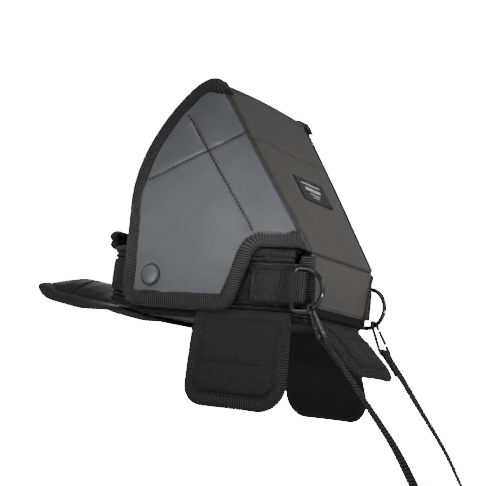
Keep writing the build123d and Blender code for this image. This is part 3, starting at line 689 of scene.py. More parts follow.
def build_front():
    """Flat strip between wall and lid hinge, and the leatherette front with its bound corners."""
    strip = plan_loop(1.0, 1.5)
    strip = strip[strip[:, 0] > 89.5]
    strip = strip[np.argsort(np.arctan2(strip[:, 1], strip[:, 0] - 80))]
    cloth = sheet(strip, 2.5, lambda u, v, d: 54.0 - 0.9 * (1 - smooth(d / 2)), 48.9)
    put("front_top_cloth", cloth, "nylon", "bag", "front_top_strip")

    front = Local((FRONT_X, 0, 0), (0, 1, 0), (1, 0, 0))
    low_half, top, seam_v = 41.5, 57.4, 15.4

    def skin(u, v, d):
        slack = 0.4 * waves(u, v * 0.6, 30, 12) * smooth(d / 8)
        return slack - 0.7 * (1 - smooth(d / 3)) - peak(v - seam_v, 1.0)

    cover = rounded([(-43, 15.2), (43, 15.2), (50.4, top), (-50.4, top)], (0.5, 0.5, 0, 0))
    cover = sheet(cover, 2.0, skin, -1.5)
    put("front_cover", front.set(cover), "cover_leather", "bag", "front_cover_skin")
    hem = rounded([(-low_half, 8.6), (low_half, 8.6), (43, 15.8), (-43, 15.8)], (3, 3, 0, 0))
    hem = sheet(hem, 1.6, lambda u, v, d: -0.9 + 0.7 * smooth(d / 2.5), -1.6)
    put("front_hem", front.set(hem), "rubber", "bag")
    line = front.world(np.linspace(-42, 42, 24), seam_v + 2.0, 0.15)
    put("front_cover_stitch", stitches(line, front.n), "thread", "bag")

    bottom_z, top_z = 8.8, 55.6
    heights = np.linspace(bottom_z, top_z, 60)
    reach = np.interp(heights, (bottom_z, top_z), (low_half + 0.9, 50.6))
    outline = [(3.4, -0.1), (3.4, -0.7), (1.6, -1.0), (0.0, -0.8), (-1.2, 0.3), (-1.5, 3.2),
               (-1.3, 10.5), (-0.2, 10.5), (-0.2, 0.9), (0.8, 0.0)]
    for side, label, nodes in ((1, "left", "corner_bindings"), (-1, "right", "")):
        path = columns(FRONT_X + 0.2, reach * side, heights)
        points, faces, uv = ribbed(path, vec(0, -side, 0), vec(-1, 0, 0), outline, 0.9)
        if side < 0:
            faces = flipped(faces)
        put(f"corner_binding_{label}", (points, faces, uv), "binding", "bag", nodes)


# ---- lid
WELL_U, WELL_HALF_U, WELL_HALF_V = -8, 58, 37      # the window's shallow well


def crown(u, v):
    """Soft dome of the lid, 0 at its rim."""
    return 2.6 * smooth((88 - u) / 60) * smooth((u + 105) / 50) * smooth((62 - np.abs(v)) / 46)


def lid_top(u, v, d):
    """Outer face of the lid: puffed, with a shallow well for the window and a seam round it."""
    beyond_u, beyond_v = np.abs(u - WELL_U) - WELL_HALF_U, np.abs(v) - WELL_HALF_V
    well = 1 - smooth(np.maximum(beyond_u, beyond_v) / 2.5 + 0.5)
    seam = 0.5 * peak(np.maximum(beyond_u - 4, beyond_v - 4), 0.9)
    return 58.2 + 1.6 * smooth(d / 7) + crown(u, v) - 2.6 * well - seam + 0.35 * waves(u, v, 30, 21)


def film(u, v, d):
    """Underside of the window's clear film."""
    return 58.5 + 1.5 * smooth(d / 16) + crown(u, v) * 0.8 + 0.3 * waves(u, v, 40, 5) * smooth(d / 10)


def build_lid():
    loop = plan_loop(1.3, 1.6)
    loop = loop[loop[:, 0] < 87.4]
    loop = loop[np.argsort(np.arctan2(-loop[:, 1], 10 - loop[:, 0]))]
    put("lid_cloth", sheet(loop, 1.9, lid_top, 56.0), "nylon", "lid", "lid_panel lid_pocket_backing")
    window = sheet(box((-67, -38), (51, 38), 8), 2.2, lambda u, v, d: film(u, v, d) + 0.4, film)
    put("lid_film", window, "clear_film", "lid", "lid_window")

    ring, _ = resample(box((-70, -41), (54, 41), 10), 2.0, True)
    inward = columns(left_of(tangents(ring, True)), 0)
    outline = [(-4.2, -0.3), (-4.2, 0.3), (-3.4, 0.65), (2.6, 0.55), (4.0, 0.25), (4.0, -0.6)]
    path = columns(ring, 59.75 + crown(*ring.T))
    tape = ribbed(path, inward, UP, outline, 0.6, True)
    put("window_frame_tape", tape, "binding", "lid")
    for k, shift in enumerate((-3.0, 2.8)):
        flat = inset_loop(ring, shift)
        line = ring_of(columns(flat, 60.35 + crown(*flat.T)))
        put(f"window_stitch_{k}", stitches(line, UP), "thread", "lid")

    edge, outward = plan_ring(0.2, 1.2)
    order = open_run(edge[:, 0] < 87)
    edge, outward = edge[order], outward[order]
    tape = ribbed_tape(edge + UP * 58.1, -outward, UP, 2.2, BIND_W - 1)
    put("lid_binding_tape", tape, "binding", "lid", "lid_binding")
    inner = edge - outward * 8.6
    line = columns(inner[:, :2], 61.35 + 0.6 * crown(inner[:, 0], inner[:, 1]))
    put("lid_edge_stitch", long_stitches(line, UP, 20), "thread", "lid")


def build_handle():
    """Rolled webbing handle standing along the rear edge of the lid."""
    edge, outward = plan_ring(2.0, 1.2)
    order = open_run((edge[:, 0] < -86) & (np.abs(edge[:, 1]) < 58))
    edge, outward = edge[order], outward[order]
    steps = np.arange(len(order))
    raised = smooth(steps / 9) * smooth((len(order) - 1 - steps) / 9)
    for k, (height, out) in enumerate(((61.6, 2.4), (68.4, 3.6))):
        path = edge + outward * out + columns(0, 0, height + 3.0 * raised)
        put(f"lid_handle_{k}", ribbed(path, outward, UP, circle(23) * (5.6, 4.6), 0.9), "binding", "lid")


# ---- hood
def bulge(s):
    """How far the hood's corners and the wings' front edges stand outward of a straight corner line."""
    return BULGE * smooth(np.asarray(s, float) / 105)


def hood_half(s):
    """Half width of the hood at a distance up its slope."""
    return HOOD_HALF + HOOD_FLARE * s + bulge(s)


def top_edge(u):
    """How far up the slope the hood's arched top edge lies."""
    return HOOD_LEN + 3.6 * np.cos(np.clip(u / 65, -1, 1) * math.pi / 2)


def hood_face(u, s, d):
    """Height of the hood's outer face: soft edges, a sharp upper crease and a little slack."""
    crease = 1.9 * peak(s - MIDDLE_LEN, 1.2) - 0.6 * peak(s - MIDDLE_LEN, 8)
    slack = 0.5 * waves(u, s * 0.6, 70, 31) + 0.18 * waves(u, s * 0.6, 22, 33)
    belly = np.sin(np.pi * np.clip(s / MIDDLE_LEN, 0, 1)) * smooth(d / 25)
    return belly + slack * smooth(d / 9) - crease - 1.3 * (1 - smooth(d / 5)) ** 1.5


def hood_inside(u, s, d):
    """Height of the lining: thin near the lower crease, padded above it."""
    thick = smooth((s - 14) / 30)
    padding = (0.6 + 0.9 * smooth(d / 6) - 0.35 * waves(u, s, 36, 37)) * thick
    return -3.75 - padding + 1.1 * peak(s - MIDDLE_LEN, 2.0)


def build_hood():
    paint("hood_boards", "board")
    s = np.linspace(0.9, HOOD_LEN - 2.5, 90)
    half = hood_half(s) - 3.2
    arch = np.linspace(half[-1], -half[-1], 60)[1:-1]
    loop = np.vstack([columns(half, s), columns(arch, top_edge(arch) - 2.5), columns(-half, s)[::-1]])
    cover = HOOD.set(sheet(loop, 1.9, hood_face, -1.5))
    put("hood_cover", cover, "cover_leather", "hood", "hood_middle_skin hood_top_skin")
    lining = HOOD.set(sheet(loop, 2.6, -3.35, hood_inside))
    put("hood_lining_cloth", lining, "lining", "hood", "hood_lining")

    width = hood_half(HOOD_LEN) - 3.2
    across = np.linspace(-width, width, 70)
    top = top_edge(across)
    fold = tube(HOOD.world(across, top - 2.2, -2.0), 2.7, HOOD.n, squash=0.85)
    put("hood_top_fold", fold, "cover_leather", "hood")
    outline = [(-2.0, 0.6), (-0.4, 1.0), (2.4, 0.5), (11.0, 0.3), (11.6, -0.2), (11.0, -0.8), (-1.0, -0.8)]
    tape = ribbed(HOOD.world(across, top - 3.7, -5.6), -HOOD.v, -HOOD.n, outline, 0.9)
    put("hood_binding_tape", tape, "binding", "hood", "hood_top_binding")
    put("hood_back_stitch", stitches(HOOD.world(across, top - 13.4, -6.4), -HOOD.n), "thread", "hood")

    half = hood_half(MIDDLE_LEN) - 3.6
    across = np.linspace(-half, half, 80)
    height = hood_face(across, np.full(80, MIDDLE_LEN), np.full(80, 20.0)) + 0.25
    cord = tube(HOOD.world(across, MIDDLE_LEN, height), 0.5, HOOD.n, 8)
    put("upper_crease_cord", cord, "dark_thread", "hood")
    # the lower crease's fold is the cover leatherette, darkened with painted shade
    path = columns(FRONT_X - 2.4, np.linspace(-48.4, 48.4, 50), CREASE_Z - 1.4)
    fold = tube(path, 2.0, (1, 0, 0))
    put("crease_fold", fold, "fold_leather_painted_shade", "hood_crease", "hood_crease_roll", slot="cover_leather")


def build_label():
    """Generic woven label: a sewn patch with plain bars instead of any words."""
    mid_u, mid_v, half_u, half_v = 5, 75, 24, 14
    loop = box((mid_u - half_u, mid_v - half_v), (mid_u + half_u, mid_v + half_v), 1.5, 0.6)

    def over(height):
        """A face that lies a little above the hood."""
        return lambda u, s, d: hood_face(u, s, np.full(len(u), 30.0)) + height

    patch = sheet(loop, 1.0, lambda u, s, d: over(0.25)(u, s, d) + 0.45 * smooth(d / 0.8), over(-0.3))
    put("label_cloth", HOOD.set(patch), "label", "hood", "label_patch")
    frame_loop, _ = resample(inset_loop(loop, 1.7), 1.0, True)
    line = HOOD.world(ring_of(columns(frame_loop, over(0.75)(*frame_loop.T, 0))))
    put("label_stitch", stitches(line, HOOD.n, 1.9, 1.3, 0.22), "dark_thread", "hood")
    parts = []
    for rise, width, height in ((7.0, 30, 1.5), (1.2, 25, 3.6), (-4.0, 17, 1.1), (-7.2, 12, 0.9)):
        bar = box(
            (mid_u - width / 2, mid_v + rise - height / 2), (mid_u + width / 2, mid_v + rise + height / 2),
            height * 0.3, 0.4,
        )
        parts.append(HOOD.set(sheet(bar, 0.9, over(0.82), over(0.5))))
    put("label_bars", merged(parts), "label_mark", "hood")


# ---- wings
WING_LINES = (((-130, 115), (-56, 16)), ((-168, 58), (-71, 99)))    # sewn lines across the skin
SNAP = (-150.96, -25.0)


def wing_edge_line(s):
    """Corner line between hood and wing, in the wing's own plane, at distances up the hood."""
    s = np.asarray(s, float)
    along = columns(FRONT_X - s * math.sin(LEAN), -HOOD_HALF - HOOD_FLARE * s, CREASE_Z + s * math.cos(LEAN))
    return WING.local(along)


def wing_shape():
    """Bound run of the wing's edge, anticlockwise from its apex, and the full outline."""
    line = wing_edge_line(np.linspace(4.0, HOOD_LEN, 90))[:, :2] + vec(-2.7, 0)
    tip = rounded([(-96, 143.5), (-110, 150), (-124, 143.5)], (0, 17, 0))
    t = np.linspace(0, 1, 50)[1:-1, None]
    sail = ((1 - t) ** 3 * vec(-124, 143.5) + 3 * t * (1 - t) ** 2 * vec(-146, 128)
            + 3 * t**2 * (1 - t) * vec(-181.5, 88) + t**3 * vec(-181.5, 40))
    foot = rounded(
        [(-181.5, 40), (-178.5, -51), (-71, -51), (-53.5, 4), (-13, 4), (-4.5, 1.2)], (0, 17, 14, 10, 9, 0),
    )
    run = soften(resample(np.vstack([tip, sail, foot]), 1.2, False)[0], False, 6)
    return run, np.vstack([run, line])


def tuck(points):
    """Keep the front end of the wing's trim behind the folded corner."""
    local = WING.local(points)
    line = wing_edge_line(np.linspace(-8, 60, 20))
    limit = np.interp(local[:, 1], line[:, 1], line[:, 0]) + 1.2
    local[:, 0] = np.where(local[:, 1] < 34, np.minimum(local[:, 0], limit), local[:, 0])
    return WING.world(local)


def flare(u, v):
    """The wing leans out with the hood's corner, and stands out at the upper crease."""
    s = np.linspace(0, HOOD_LEN, 60)
    line = wing_edge_line(s)
    behind = np.clip(np.interp(v, line[:, 1], line[:, 0]) - u, 0, None)
    return bulge(np.interp(v, line[:, 1], s)) * np.exp(-behind / 60)


def groove(u, v, a, b, width):
    """1 along the line from a to b, fading over a width, and fading out at its ends."""
    a, b = vec(*a), vec(*b)
    d = unit(b - a)
    across = (u - a[0]) * -d[1] + (v - a[1]) * d[0]
    along = (u - a[0]) * d[0] + (v - a[1]) * d[1]
    return peak(across, width) * smooth(along / 6) * smooth((np.linalg.norm(b - a) - along) / 6)


def wing_height(u, v, d):
    """Outer face of the wing: padded, with its sewn lines and the dimple round its snap."""
    snap_d = np.hypot(u - SNAP[0], v - SNAP[1])
    puff = 0.6 * smooth(d / 10) + 0.9 * smooth(d / 40)
    lines = sum(groove(u, v, a, b, 1.3) * 0.9 + groove(u, v, a, b, 6.0) * 0.5 for a, b in WING_LINES)
    slack = (0.5 * waves(u, v, 60, 41) + 0.15 * waves(u, v, 18, 43)) * smooth(d / 12) * smooth(snap_d / 20)
    pull = 0.25 * peak(snap_d - 22, 7) - 0.9 * peak(snap_d, 15)
    return puff - lines + slack + pull + flare(u, v)


def wing_back(u, v, d):
    """Inner face of the wing's padding."""
    return -3.4 - 0.5 * smooth(d / 10) + 0.25 * waves(u, v, 34, 47) * smooth(d / 8) + flare(u, v)


def build_wing(side, mirrored):
    wing, edge_body = f"wing_{side}", f"wing_edge_{side}"
    run, loop = wing_shape()
    rim = inset_loop(loop, 0.8)
    hinge = WING.world(wing_edge_line(np.linspace(0, HOOD_LEN, 40)))
    sign = MIRROR if mirrored else 1
    direction = unit(hinge[-1] - hinge[0])
    inward = unit((WING.u @ direction) * direction - WING.u)
    bend = (edge_body, wing, *((hinge[20] + inward * reach) * sign * MM for reach in (1.0, 20.0)))

    def add(name, shape, material, nodes=""):
        put(name, shape, material, bend, nodes, mirrored)

    skin = sheet(rim, 1.9, wing_height, lambda u, v, d: flare(u, v) - 1.6)
    add(f"wing_skin_{side}_cloth", WING.set(skin), "wing_leather", f"wing_skin_{side}")
    pad = sheet(rim, 2.6, lambda u, v, d: flare(u, v) - 1.7, wing_back)
    add(f"wing_padding_{side}_cloth", WING.set(pad), "padding", f"wing_padding_{side}")

    # the tape lies square to the edge, and turns along the corner line over the rows at its two ends
    turn_rows = 11
    height = flare(*run.T) - 1.7
    corner = unit(wing_edge_line([HOOD_LEN])[0, :2] - wing_edge_line([0])[0, :2])
    count = np.arange(len(run))
    first, last = (1 - smooth(rows[:, None] / turn_rows) for rows in (count, count[-1] - count))
    into = left_of(soften(tangents(run, False), False, 3)) * (1 - first - last) + corner * (last - first)
    into = units(into)
    inset = BIND_W - 1.9     # of the stitches, from the edge
    inward = into[:, :1] * WING.u + into[:, 1:] * WING.v
    tape = ribbed_tape(WING.world(run, height), inward, WING.n, 2.1, BIND_W)
    add(f"wing_binding_{side}_tape", (tuck(tape[0]), *tape[1:]), "binding", f"wing_binding_{side}")
    line = WING.world(run + into * inset, height + 3.05)[2:-8]
    add(f"wing_stitch_{side}", stitches(line, WING.n), "dark_thread")
    parts = []
    for a, b in WING_LINES:
        seam = np.linspace(a, b, 60)
        lift = wing_height(*seam.T, edge_distance(seam, rim)) + 0.75
        parts.append(stitches(WING.world(seam, lift), WING.n, 3.6, 2.7, 0.62))
    add(f"wing_quilting_{side}", merged(parts), "dark_thread")

    build_snap(side, mirrored)
    # the fold between hood and wing is the wing leatherette, darkened with painted shade
    s = np.linspace(2.2, HOOD_LEN - 0.5, 90)
    path = columns(FRONT_X - s * math.sin(LEAN), -hood_half(s), CREASE_Z + s * math.cos(LEAN))
    fold = tube(path + HOOD.n * -2.2 + vec(0, 2.2, 0), ROLL_R + 0.15, HOOD.n, 16)
    nodes = f"edge_roll_{side}"
    put(f"edge_fold_{side}", fold, "fold_leather_painted_shade", edge_body, nodes, mirrored, "wing_leather")


def build_snap(side, mirrored):
    """Domed snap cap with a dark ring, and its socket on the inside."""
    place = Local(WING.world(*SNAP, 0)[0], AHEAD, OUT)
    cap = [(8.3, 0.5), (8.35, 1.1), (8.0, 1.7), (6.9, 2.25), (5.2, 2.6), (2.8, 2.85), (0.8, 2.95),
           (0.05, 2.97)]
    rim = [(7.9, -0.4), (9.6, -0.3), (10.0, 0.3), (9.7, 0.9), (8.9, 1.1), (8.1, 0.8), (7.9, 0.1)]
    socket = [(0.05, -3.7), (3.1, -3.8), (3.3, -4.6), (4.2, -4.9), (5.6, -4.7), (6.3, -4.1), (6.2, -3.6)]
    for name, rings, material, nodes in (
        ("cap", cap, "snap_cap", f"wing_snap_{side}"),
        ("rim", rim, "snap_rim", ""),
        ("socket", socket, "black_metal", ""),
    ):
        put(f"snap_{name}_{side}", lathe(rings, place), material, f"wing_{side}", nodes, mirrored)


# ---- side hardware
WEB_Z = 29.5             # middle of the webbing tab
WEB_HALF = 12.5
BAR_U, BAR_W = -10.0, 7.9                   # the D-ring's straight bar, in SIDE's plane
LOOP_SLACK = 7.0
D_WIRE, D_ARM, D_HALF = 2.0, 8.5, 17.0
D_Z = WEB_Z + WEB_HALF + 2.2 - D_HALF
HOOK_WIRE = 1.4


def box_stitches(place, centre_u, width, height, w):
    """Square with a cross, as sewn over a webbing end."""
    corners = vec(centre_u, 0) + vec((-1, -1), (1, -1), (1, 1), (-1, 1)) * (width / 2, height / 2)
    legs = ((0, 1), (1, 2), (2, 3), (3, 0), (0, 2), (1, 3))
    lines = [place.world(np.linspace(corners[a], corners[b], 12), w) for a, b in legs]
    return merged([stitches(line, place.n, 2.1, 1.5, 0.27) for line in lines])


def build_side_pad(side, mirrored):
    def top(u, v, d):
        return 1.6 + 2.2 * smooth(d / 4.5) - 0.5 * peak(d - 2.2, 0.7) + 0.25 * waves(u, v, 20, 51)

    loop = box((-56, 15.2), (-6.8, 42.8), 4, 1.0)
    nodes = "" if mirrored else "side_pads"
    put(f"side_pad_{side}", SIDE.set(sheet(loop, 1.6, top, 0.15)), "nylon", "bag", nodes, mirrored)
    line = SIDE.world(ring_of(inset_loop(loop, 2.2)), 2.6)
    put(f"side_pad_stitch_{side}", stitches(line, SIDE.n), "dark_thread", "bag", "", mirrored)


def build_webbing_tab(side, mirrored):
    """Webbing sewn to the side pad and looped round the D-ring's bar."""
    turn = np.linspace(-math.pi / 2, math.pi / 2, 22)
    r = D_WIRE + 1.05
    front = BAR_U + LOOP_SLACK
    lower = columns(np.linspace(-50.5, front - 1, 40), 4.95)
    around = columns(front + r * np.cos(turn), BAR_W + r * np.sin(turn))
    back = np.linspace(front - 1, -49.5, 44)
    upper = columns(back, np.interp(back, (-49.5, -19, -13, front), (6.6, 6.6, 10.6, 10.95)))
    outline, _ = resample(np.vstack([lower, around, upper]), 0.8, False)
    outline = soften(outline, False, 6)
    path = SIDE.world(outline[:, 0], WEB_Z, outline[:, 1])
    tab = webbing(path, UP, np.cross(UP, tangents(path, False)), WEB_HALF, 1.4, 1.9)
    nodes = "" if mirrored else "webbing_tabs"
    put(f"webbing_tab_{side}", tab, "webbing", "bag", nodes, mirrored)
    rows = np.linspace(WEB_Z - 11, WEB_Z + 11, 14)
    lines = [SIDE.world(u, rows, 7.6) for u in (-47.6, -44.4, -23.6, -20.4)]
    seams = merged([stitches(line, SIDE.n, 2.9, 2.0, 0.45) for line in lines])
    put(f"webbing_stitch_{side}", seams, "dark_thread", "bag", "", mirrored)


def build_rings(side, mirrored):
    """D-ring wire, and the paint of the hook, gate and studs."""
    arc = np.linspace(-math.pi / 2, math.pi / 2, 30)
    bow = columns(BAR_U + D_ARM + D_HALF * np.cos(arc), D_Z + D_HALF * np.sin(arc))
    ring = np.vstack([[(BAR_U, D_Z - D_HALF)], bow, [(BAR_U, D_Z + D_HALF)]])
    ring, _ = resample(rounded(ring, [3] + [0] * len(bow) + [3], 0.8), 1.0, True)
    wire = tube(SIDE.world(ring, BAR_W), D_WIRE, SIDE.n, 16, closed=True)
    put(f"d_ring_wire_{side}", wire, "black_metal", f"d_ring_{side}", f"d_ring_{side}", mirrored)
    paint(f"snap_hook_{side}", "black_metal")
    paint(f"hook_gate_{side}", "black_metal")
    if not mirrored:
        paint("snap_studs", "black_metal")


# ---- tie straps
def build_strap(side, mirrored):
    """Strap looped round the bottom bar of the hook, easing into a slight curve."""
    bar = joint_at(f"strap_swing_{side}") * (MIRROR if mirrored else 1)
    across = unit(np.array(JOINTS["strap_swing_right"]["axis"]) * (1, 1, 0))
    down = vec(0.62, 0.14, -0.771)
    down = unit(down - (down @ across) * across)
    face = np.cross(across, down)
    start, end, overlap, off_bar = 7, 146, 26, 0.55

    def bow(q):
        return 3.2 * np.sin(math.pi * (q - start) / 139) ** 2 + 0.8 * np.sin(q / 14)

    turn = np.linspace(math.radians(-60), math.radians(240), 30)[::-1, None]
    loop = bar + (down * -np.sin(turn) + face * np.cos(turn)) * (HOOK_WIRE + 1.0)
    length = np.linspace(start, end, 90)[:, None]
    doubled = np.linspace(overlap, start, 12)[:, None]
    tail = bar + down * length + face * (off_bar + bow(length))
    back_bow = np.interp(doubled, length[:, 0], bow(length)[:, 0])
    back = bar + down * doubled + face * (off_bar + back_bow - 1.5)
    path = soften(resample(np.vstack([back, loop, tail]), 0.9, False)[0], False, 4)
    t = tangents(path, False)
    last = len(path) - 1
    twist = np.interp(np.arange(len(path)), (0, len(path) * 0.35, last), (0, 0, 0.35))[:, None]
    side_dir = across * np.cos(twist) + units(np.cross(t, across)) * np.sin(twist)
    web = webbing(path, side_dir, np.cross(t, side_dir), 5.4, 1.25, 2.9)
    body = f"strap_{side}"
    put(f"tie_strap_{side}_web", web, "webbing", body, f"tie_strap_{side}", mirrored)
    seam = box_stitches(Local(bar + face * 1.6, down, face), 17, 11, 6.5, 0.55)
    put(f"tie_strap_stitch_{side}", seam, "thread", body, "", mirrored)


# ---- magnet flaps
def flap_loop(width, length, skew, tip_r, start=0.0):
    """Flap outline from a start line to its rounded tip, which is shifted sideways by skew."""
    half, lean = width / 2, skew / length * start
    corners = [(lean - half, start), (half + lean, start), (half + skew, length), (skew - half, length)]
    return rounded(corners, (0.0, 0.0, tip_r, tip_r))


def build_flap(name, place, size, warp, seams, mirrored=False, pocket=None):
    """Fabric flap with a bound edge. warp(u, v) is how far it stands off its flat plane, seams are
    lines sewn across it, and pocket is where its outer pocket begins."""
    width, length, skew, _ = size
    stem, _, side = name.partition("_flap")
    cloth, magnets, binding = (f"{stem}_flap{part}{side}" for part in ("", "_magnets", "_binding"))
    loop = inset_loop(flap_loop(*size, -7.0), 0.9)
    spots = [vec(skew * 0.5 + s * width * 0.18, length * 0.55) for s in (-1, 1)]
    magnet = vec(width * 0.15, length * 0.21)
    under_tape = 8.0     # the cloth stays low as far in as the binding reaches

    def top(u, v, d):
        beyond = [np.maximum(np.abs(u - c[0]) - magnet[0], np.abs(v - c[1]) - magnet[1]) for c in spots]
        pad = sum(smooth(0.6 - b / 5) for b in beyond)
        height = 1.7 * smooth((d - under_tape) / 4) - 0.5 + 0.7 * pad * smooth((d - under_tape) / 3)
        for a, b in seams:
            height = height - 1.1 * groove(u, v, a, b, 1.2)
        fold = 0.45 * waves(u, v, 30, 61) + 0.2 * waves(u, v, 11, 63)
        return height + fold * smooth((d - 7) / 6) + warp(u, v)

    def bottom(u, v, d):
        return 0.2 - FLAP_T - 0.35 * smooth(d / 9) + warp(u, v)

    def middle(points):
        return warp(*points.T) - FLAP_T / 2 + 0.1

    def add(part, shape, material, nodes="", body=name):
        put(f"{name}_{part}", shape, material, body, nodes, mirrored)

    sign = MIRROR if mirrored else 1
    bend = ("bag", name, *(place.world(0, v, -1.8)[0] * sign * MM for v in (-2.0, 9.0)))
    add("cloth", place.set(sheet(loop, 2.0, top, bottom)), "flap_nylon", cloth, bend)

    full, _ = resample(flap_loop(*size), 1.2, True)
    run = full[open_run(full[:, 1] > 11.5)]
    into = left_of(soften(tangents(run, False), False, 4))
    height, inner = middle(run), middle(run + into * 8)
    inward = into[:, :1] * place.u + into[:, 1:] * place.v + (inner - height)[:, None] / 8 * place.n
    path = place.world(run, height)
    normal = np.cross(tangents(path, False), inward)
    normal *= np.sign(normal @ place.n)[:, None]
    tape = ribbed_tape(path, inward, normal, FLAP_T / 2 - 0.2, BIND_W - 1.0)
    add("tape", tape, "binding", binding, bend)
    line = place.world(run + into * 8.3, inner + 2.75)
    add("edge_stitch", stitches(line, place.n), "dark_thread")

    parts = []
    for a, b in seams:
        d = unit(vec(*b) - a)
        aside = vec(-d[1], d[0]) * 2.2
        line = np.linspace(a + aside + d * 4, b + aside - d * 4, 26)
        lift = top(*line.T, edge_distance(line, loop)) + 0.1
        parts.append(stitches(place.world(line, lift), place.n))
    add("seam_stitch", merged(parts), "dark_thread")

    blocks = [box(c - magnet, c + magnet, 2.0) for c in spots]
    faces = (lambda u, v, d: warp(u, v) - 1.0, lambda u, v, d: warp(u, v) - 2.6)
    pack = merged([place.set(sheet(block, 4.0, *faces)) for block in blocks])
    add("magnet_pack", pack, "steel", magnets)

    def pocket_top(u, v, d):
        rise = 2.3
        mouth = pocket + 5.0 * ((u - skew * 0.6) / (width / 2)) ** 2
        return top(u, v, d + 9) + rise * smooth(v - mouth + 0.3) * smooth(d / 5 + 0.3) - 0.2

    if pocket:
        patch = inset_loop(flap_loop(*size, pocket), 9.4)
        patch = sheet(patch, 1.8, pocket_top, lambda u, v, d: top(u, v, d + 9) - 0.6)
        add("pocket", place.set(patch), "flap_nylon")


def hung_from(joint, across, down):
    """Plane of a flap's outer face, below a joint: u across, v down the flap."""
    normal = np.cross(across, down)
    return Local(joint_at(joint) + normal * FLAP_T / 2, across, normal)


def drape(u, v):
    """Side flap: eases down over the tank and curls a little at its tip."""
    return 2.2 * np.sin(np.clip(v / 80, 0, 1.2) * math.pi) - 1.4 * (u / 44) ** 2 * smooth(v / 40)


def saddle(u, v):
    """Rear flap: crowned across, as it lies over the top of the tank."""
    grow = smooth((v - 38) / 60) * (1 - smooth((v - 125) / 60))
    return grow * (16.0 - 24.0 * (u / 46) ** 2)


def curl(u, v):
    """Front flap: bowed along its length and curled at its sides."""
    return 1.5 * np.sin(np.clip(v / 56, 0, 1) * math.pi) - 2.0 * (u / 35) ** 2 * smooth(v / 30)


def build_flaps():
    hang, rise, droop = (math.radians(a) for a in (18.0, 9.0, 42.0))
    place = hung_from("side_flap_lift_right", -AHEAD, OUT * math.sin(hang) - UP * math.cos(hang))
    size, seams = (90, 78, -13, 20), [((-34, 40), (26, 40))]
    for side, mirrored in (("right", False), ("left", True)):
        build_flap(f"side_flap_{side}", place, size, drape, seams, mirrored, pocket=46)
    place = hung_from("rear_flap_droop", vec(0, 1, 0), vec(-math.cos(rise), 0, math.sin(rise)))
    build_flap("rear_flap", place, (92, 174, 0, 40), saddle, [((-40, v), (40, v)) for v in (112, 58)])
    place = hung_from("front_flap_lift", vec(0, -1, 0), vec(math.cos(droop), 0, -math.sin(droop)))
    build_flap("front_flap", place, (70, 56, 0, 18), curl, [((-28, 14), (28, 14))])


# ---- stage
def glow(tree, plain, kind, output):
    """Show a surface or the world as near white to the camera, while it lights the bag softly."""
    bright = node(tree, kind, {"Color": (0.97, 0.98, 1.0, 1), "Strength": 24.0})
    seen = node(tree, "ShaderNodeLightPath", {}).outputs["Is Camera Ray"]
    mix = node(tree, "ShaderNodeMixShader", {0: seen, 1: plain.outputs[0], 2: bright.outputs[0]})
    tree.links.new(mix.outputs[0], tree.nodes[output].inputs["Surface"])


def stand(name, data, place, x, y, z):
    """Put a light or a camera at a place, looking down its own -z."""
    obj = bpy.data.objects.new(name, data)
    bpy.context.scene.collection.objects.link(obj)
    rows = np.stack([x, y, z], 1).tolist()
    obj.matrix_world = Matrix([[*row, p] for row, p in zip(rows, place)] + [[0, 0, 0, 1]])
    return obj


def add_lamp(name, kind, energy, spread, place, aim):
    """Soft area light of some width in metres, or a spot light of some angle in degrees."""
    light = bpy.data.lights.new(name, kind)
    light.energy = energy
    if kind == "AREA":
        light.size = spread
    else:
        light.spot_size = math.radians(spread)
        light.spot_blend = 1.0
        light.shadow_soft_size = 0.12
    z = unit(vec(*place) - aim)
    x = unit(np.cross(UP, z))
    lamp = stand(name, light, place, x, np.cross(z, x), z)
    lamp.visible_camera = False
    return lamp


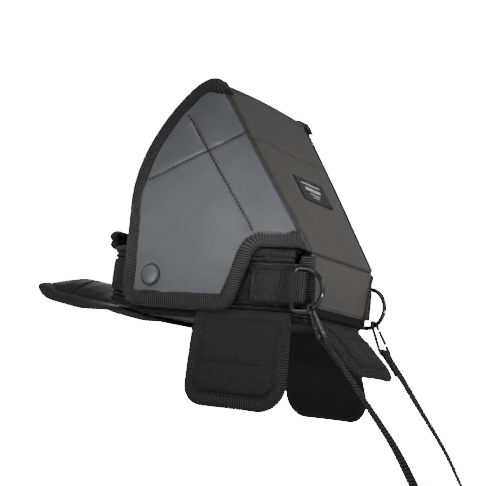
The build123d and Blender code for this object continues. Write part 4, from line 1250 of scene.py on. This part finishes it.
def build_stage():
    shown = [o for o in bpy.data.objects if o.type == "MESH" and not o.hide_render]
    lowest = min(o.matrix_world.translation.z + min(v.co.z for v in o.data.vertices) for o in shown)
    pale = bpy.data.materials.new("floor_paint")
    pale.use_nodes = True
    plain = pale.node_tree.nodes["Principled BSDF"]
    plain.inputs["Base Color"].default_value = (0.8, 0.8, 0.8, 1)
    glow(pale.node_tree, plain, "ShaderNodeEmission", "Material Output")
    mesh = bpy.data.meshes.new("floor")
    reach, gap = 6, 0.001
    corners = [(x * reach, y * reach, lowest - gap) for x, y in ((-1, -1), (1, -1), (1, 1), (-1, 1))]
    mesh.from_pydata(corners, [], [(0, 1, 2, 3)])
    mesh.materials.append(pale)
    floor = bpy.data.objects.new("floor", mesh)
    bpy.context.scene.collection.objects.link(floor)
    lamps = [add_lamp(*values) for values in (
        ("key", "AREA", 11, 1.1, (-0.5, -1.5, 1.3), (0, 0, 0.06)),
        ("front", "AREA", 12, 1.0, (1.7, -0.2, 1.1), (0, 0, 0.08)),
        ("fill", "AREA", 5, 1.4, (0.5, -1.9, -0.05), (0, 0, 0.0)),
        ("rim", "AREA", 12, 1.0, (-1.3, 1.3, 1.3), (0, 0, 0.1)),
        ("wing_glow", "SPOT", 90, 10.5, (-0.12, -0.8, -0.12), (-0.005, -0.07, 0.028)),
        ("hood_glow", "SPOT", 80, 13.5, (0.85, -0.42, -0.05), (0.095, 0.01, 0.07)),
    )]
    world = bpy.data.worlds.new("studio")
    world.use_nodes = True
    background = world.node_tree.nodes["Background"]
    background.inputs["Color"].default_value = (0.94, 0.97, 1.0, 1)
    background.inputs["Strength"].default_value = 0.24
    glow(world.node_tree, background, "ShaderNodeBackground", "World Output")
    bpy.context.scene.world = world


def build_camera():
    turn, tilt, roll = (math.radians(a) for a in (36.04, -8.45, -6.55))
    right = vec(math.cos(turn), math.sin(turn), 0)
    back = vec(math.sin(turn) * math.cos(tilt), -math.cos(turn) * math.cos(tilt), math.sin(tilt))
    up = np.cross(back, right)
    x = math.cos(roll) * right - math.sin(roll) * up
    y = math.sin(roll) * right + math.cos(roll) * up
    lens = bpy.data.cameras.new("camera")
    lens.lens = 80.3
    lens.sensor_width = 36
    lens.clip_start = 0.05
    bpy.context.scene.camera = stand("camera", lens, (0.5638, -0.7775, -0.0678), x, y, back)


build_base()
build_wall()
build_front()
build_lid()
build_handle()
build_hood()
build_label()
for which, is_left in (("right", False), ("left", True)):
    for build in (build_wing, build_side_pad, build_webbing_tab, build_rings, build_strap):
        build(which, is_left)
build_flaps()
for part in ("upper_zip_slider", "lower_zip_slider", "upper_zip_pull", "lower_zip_pull"):
    paint(part, "zip_metal")
build_stage()
build_camera()
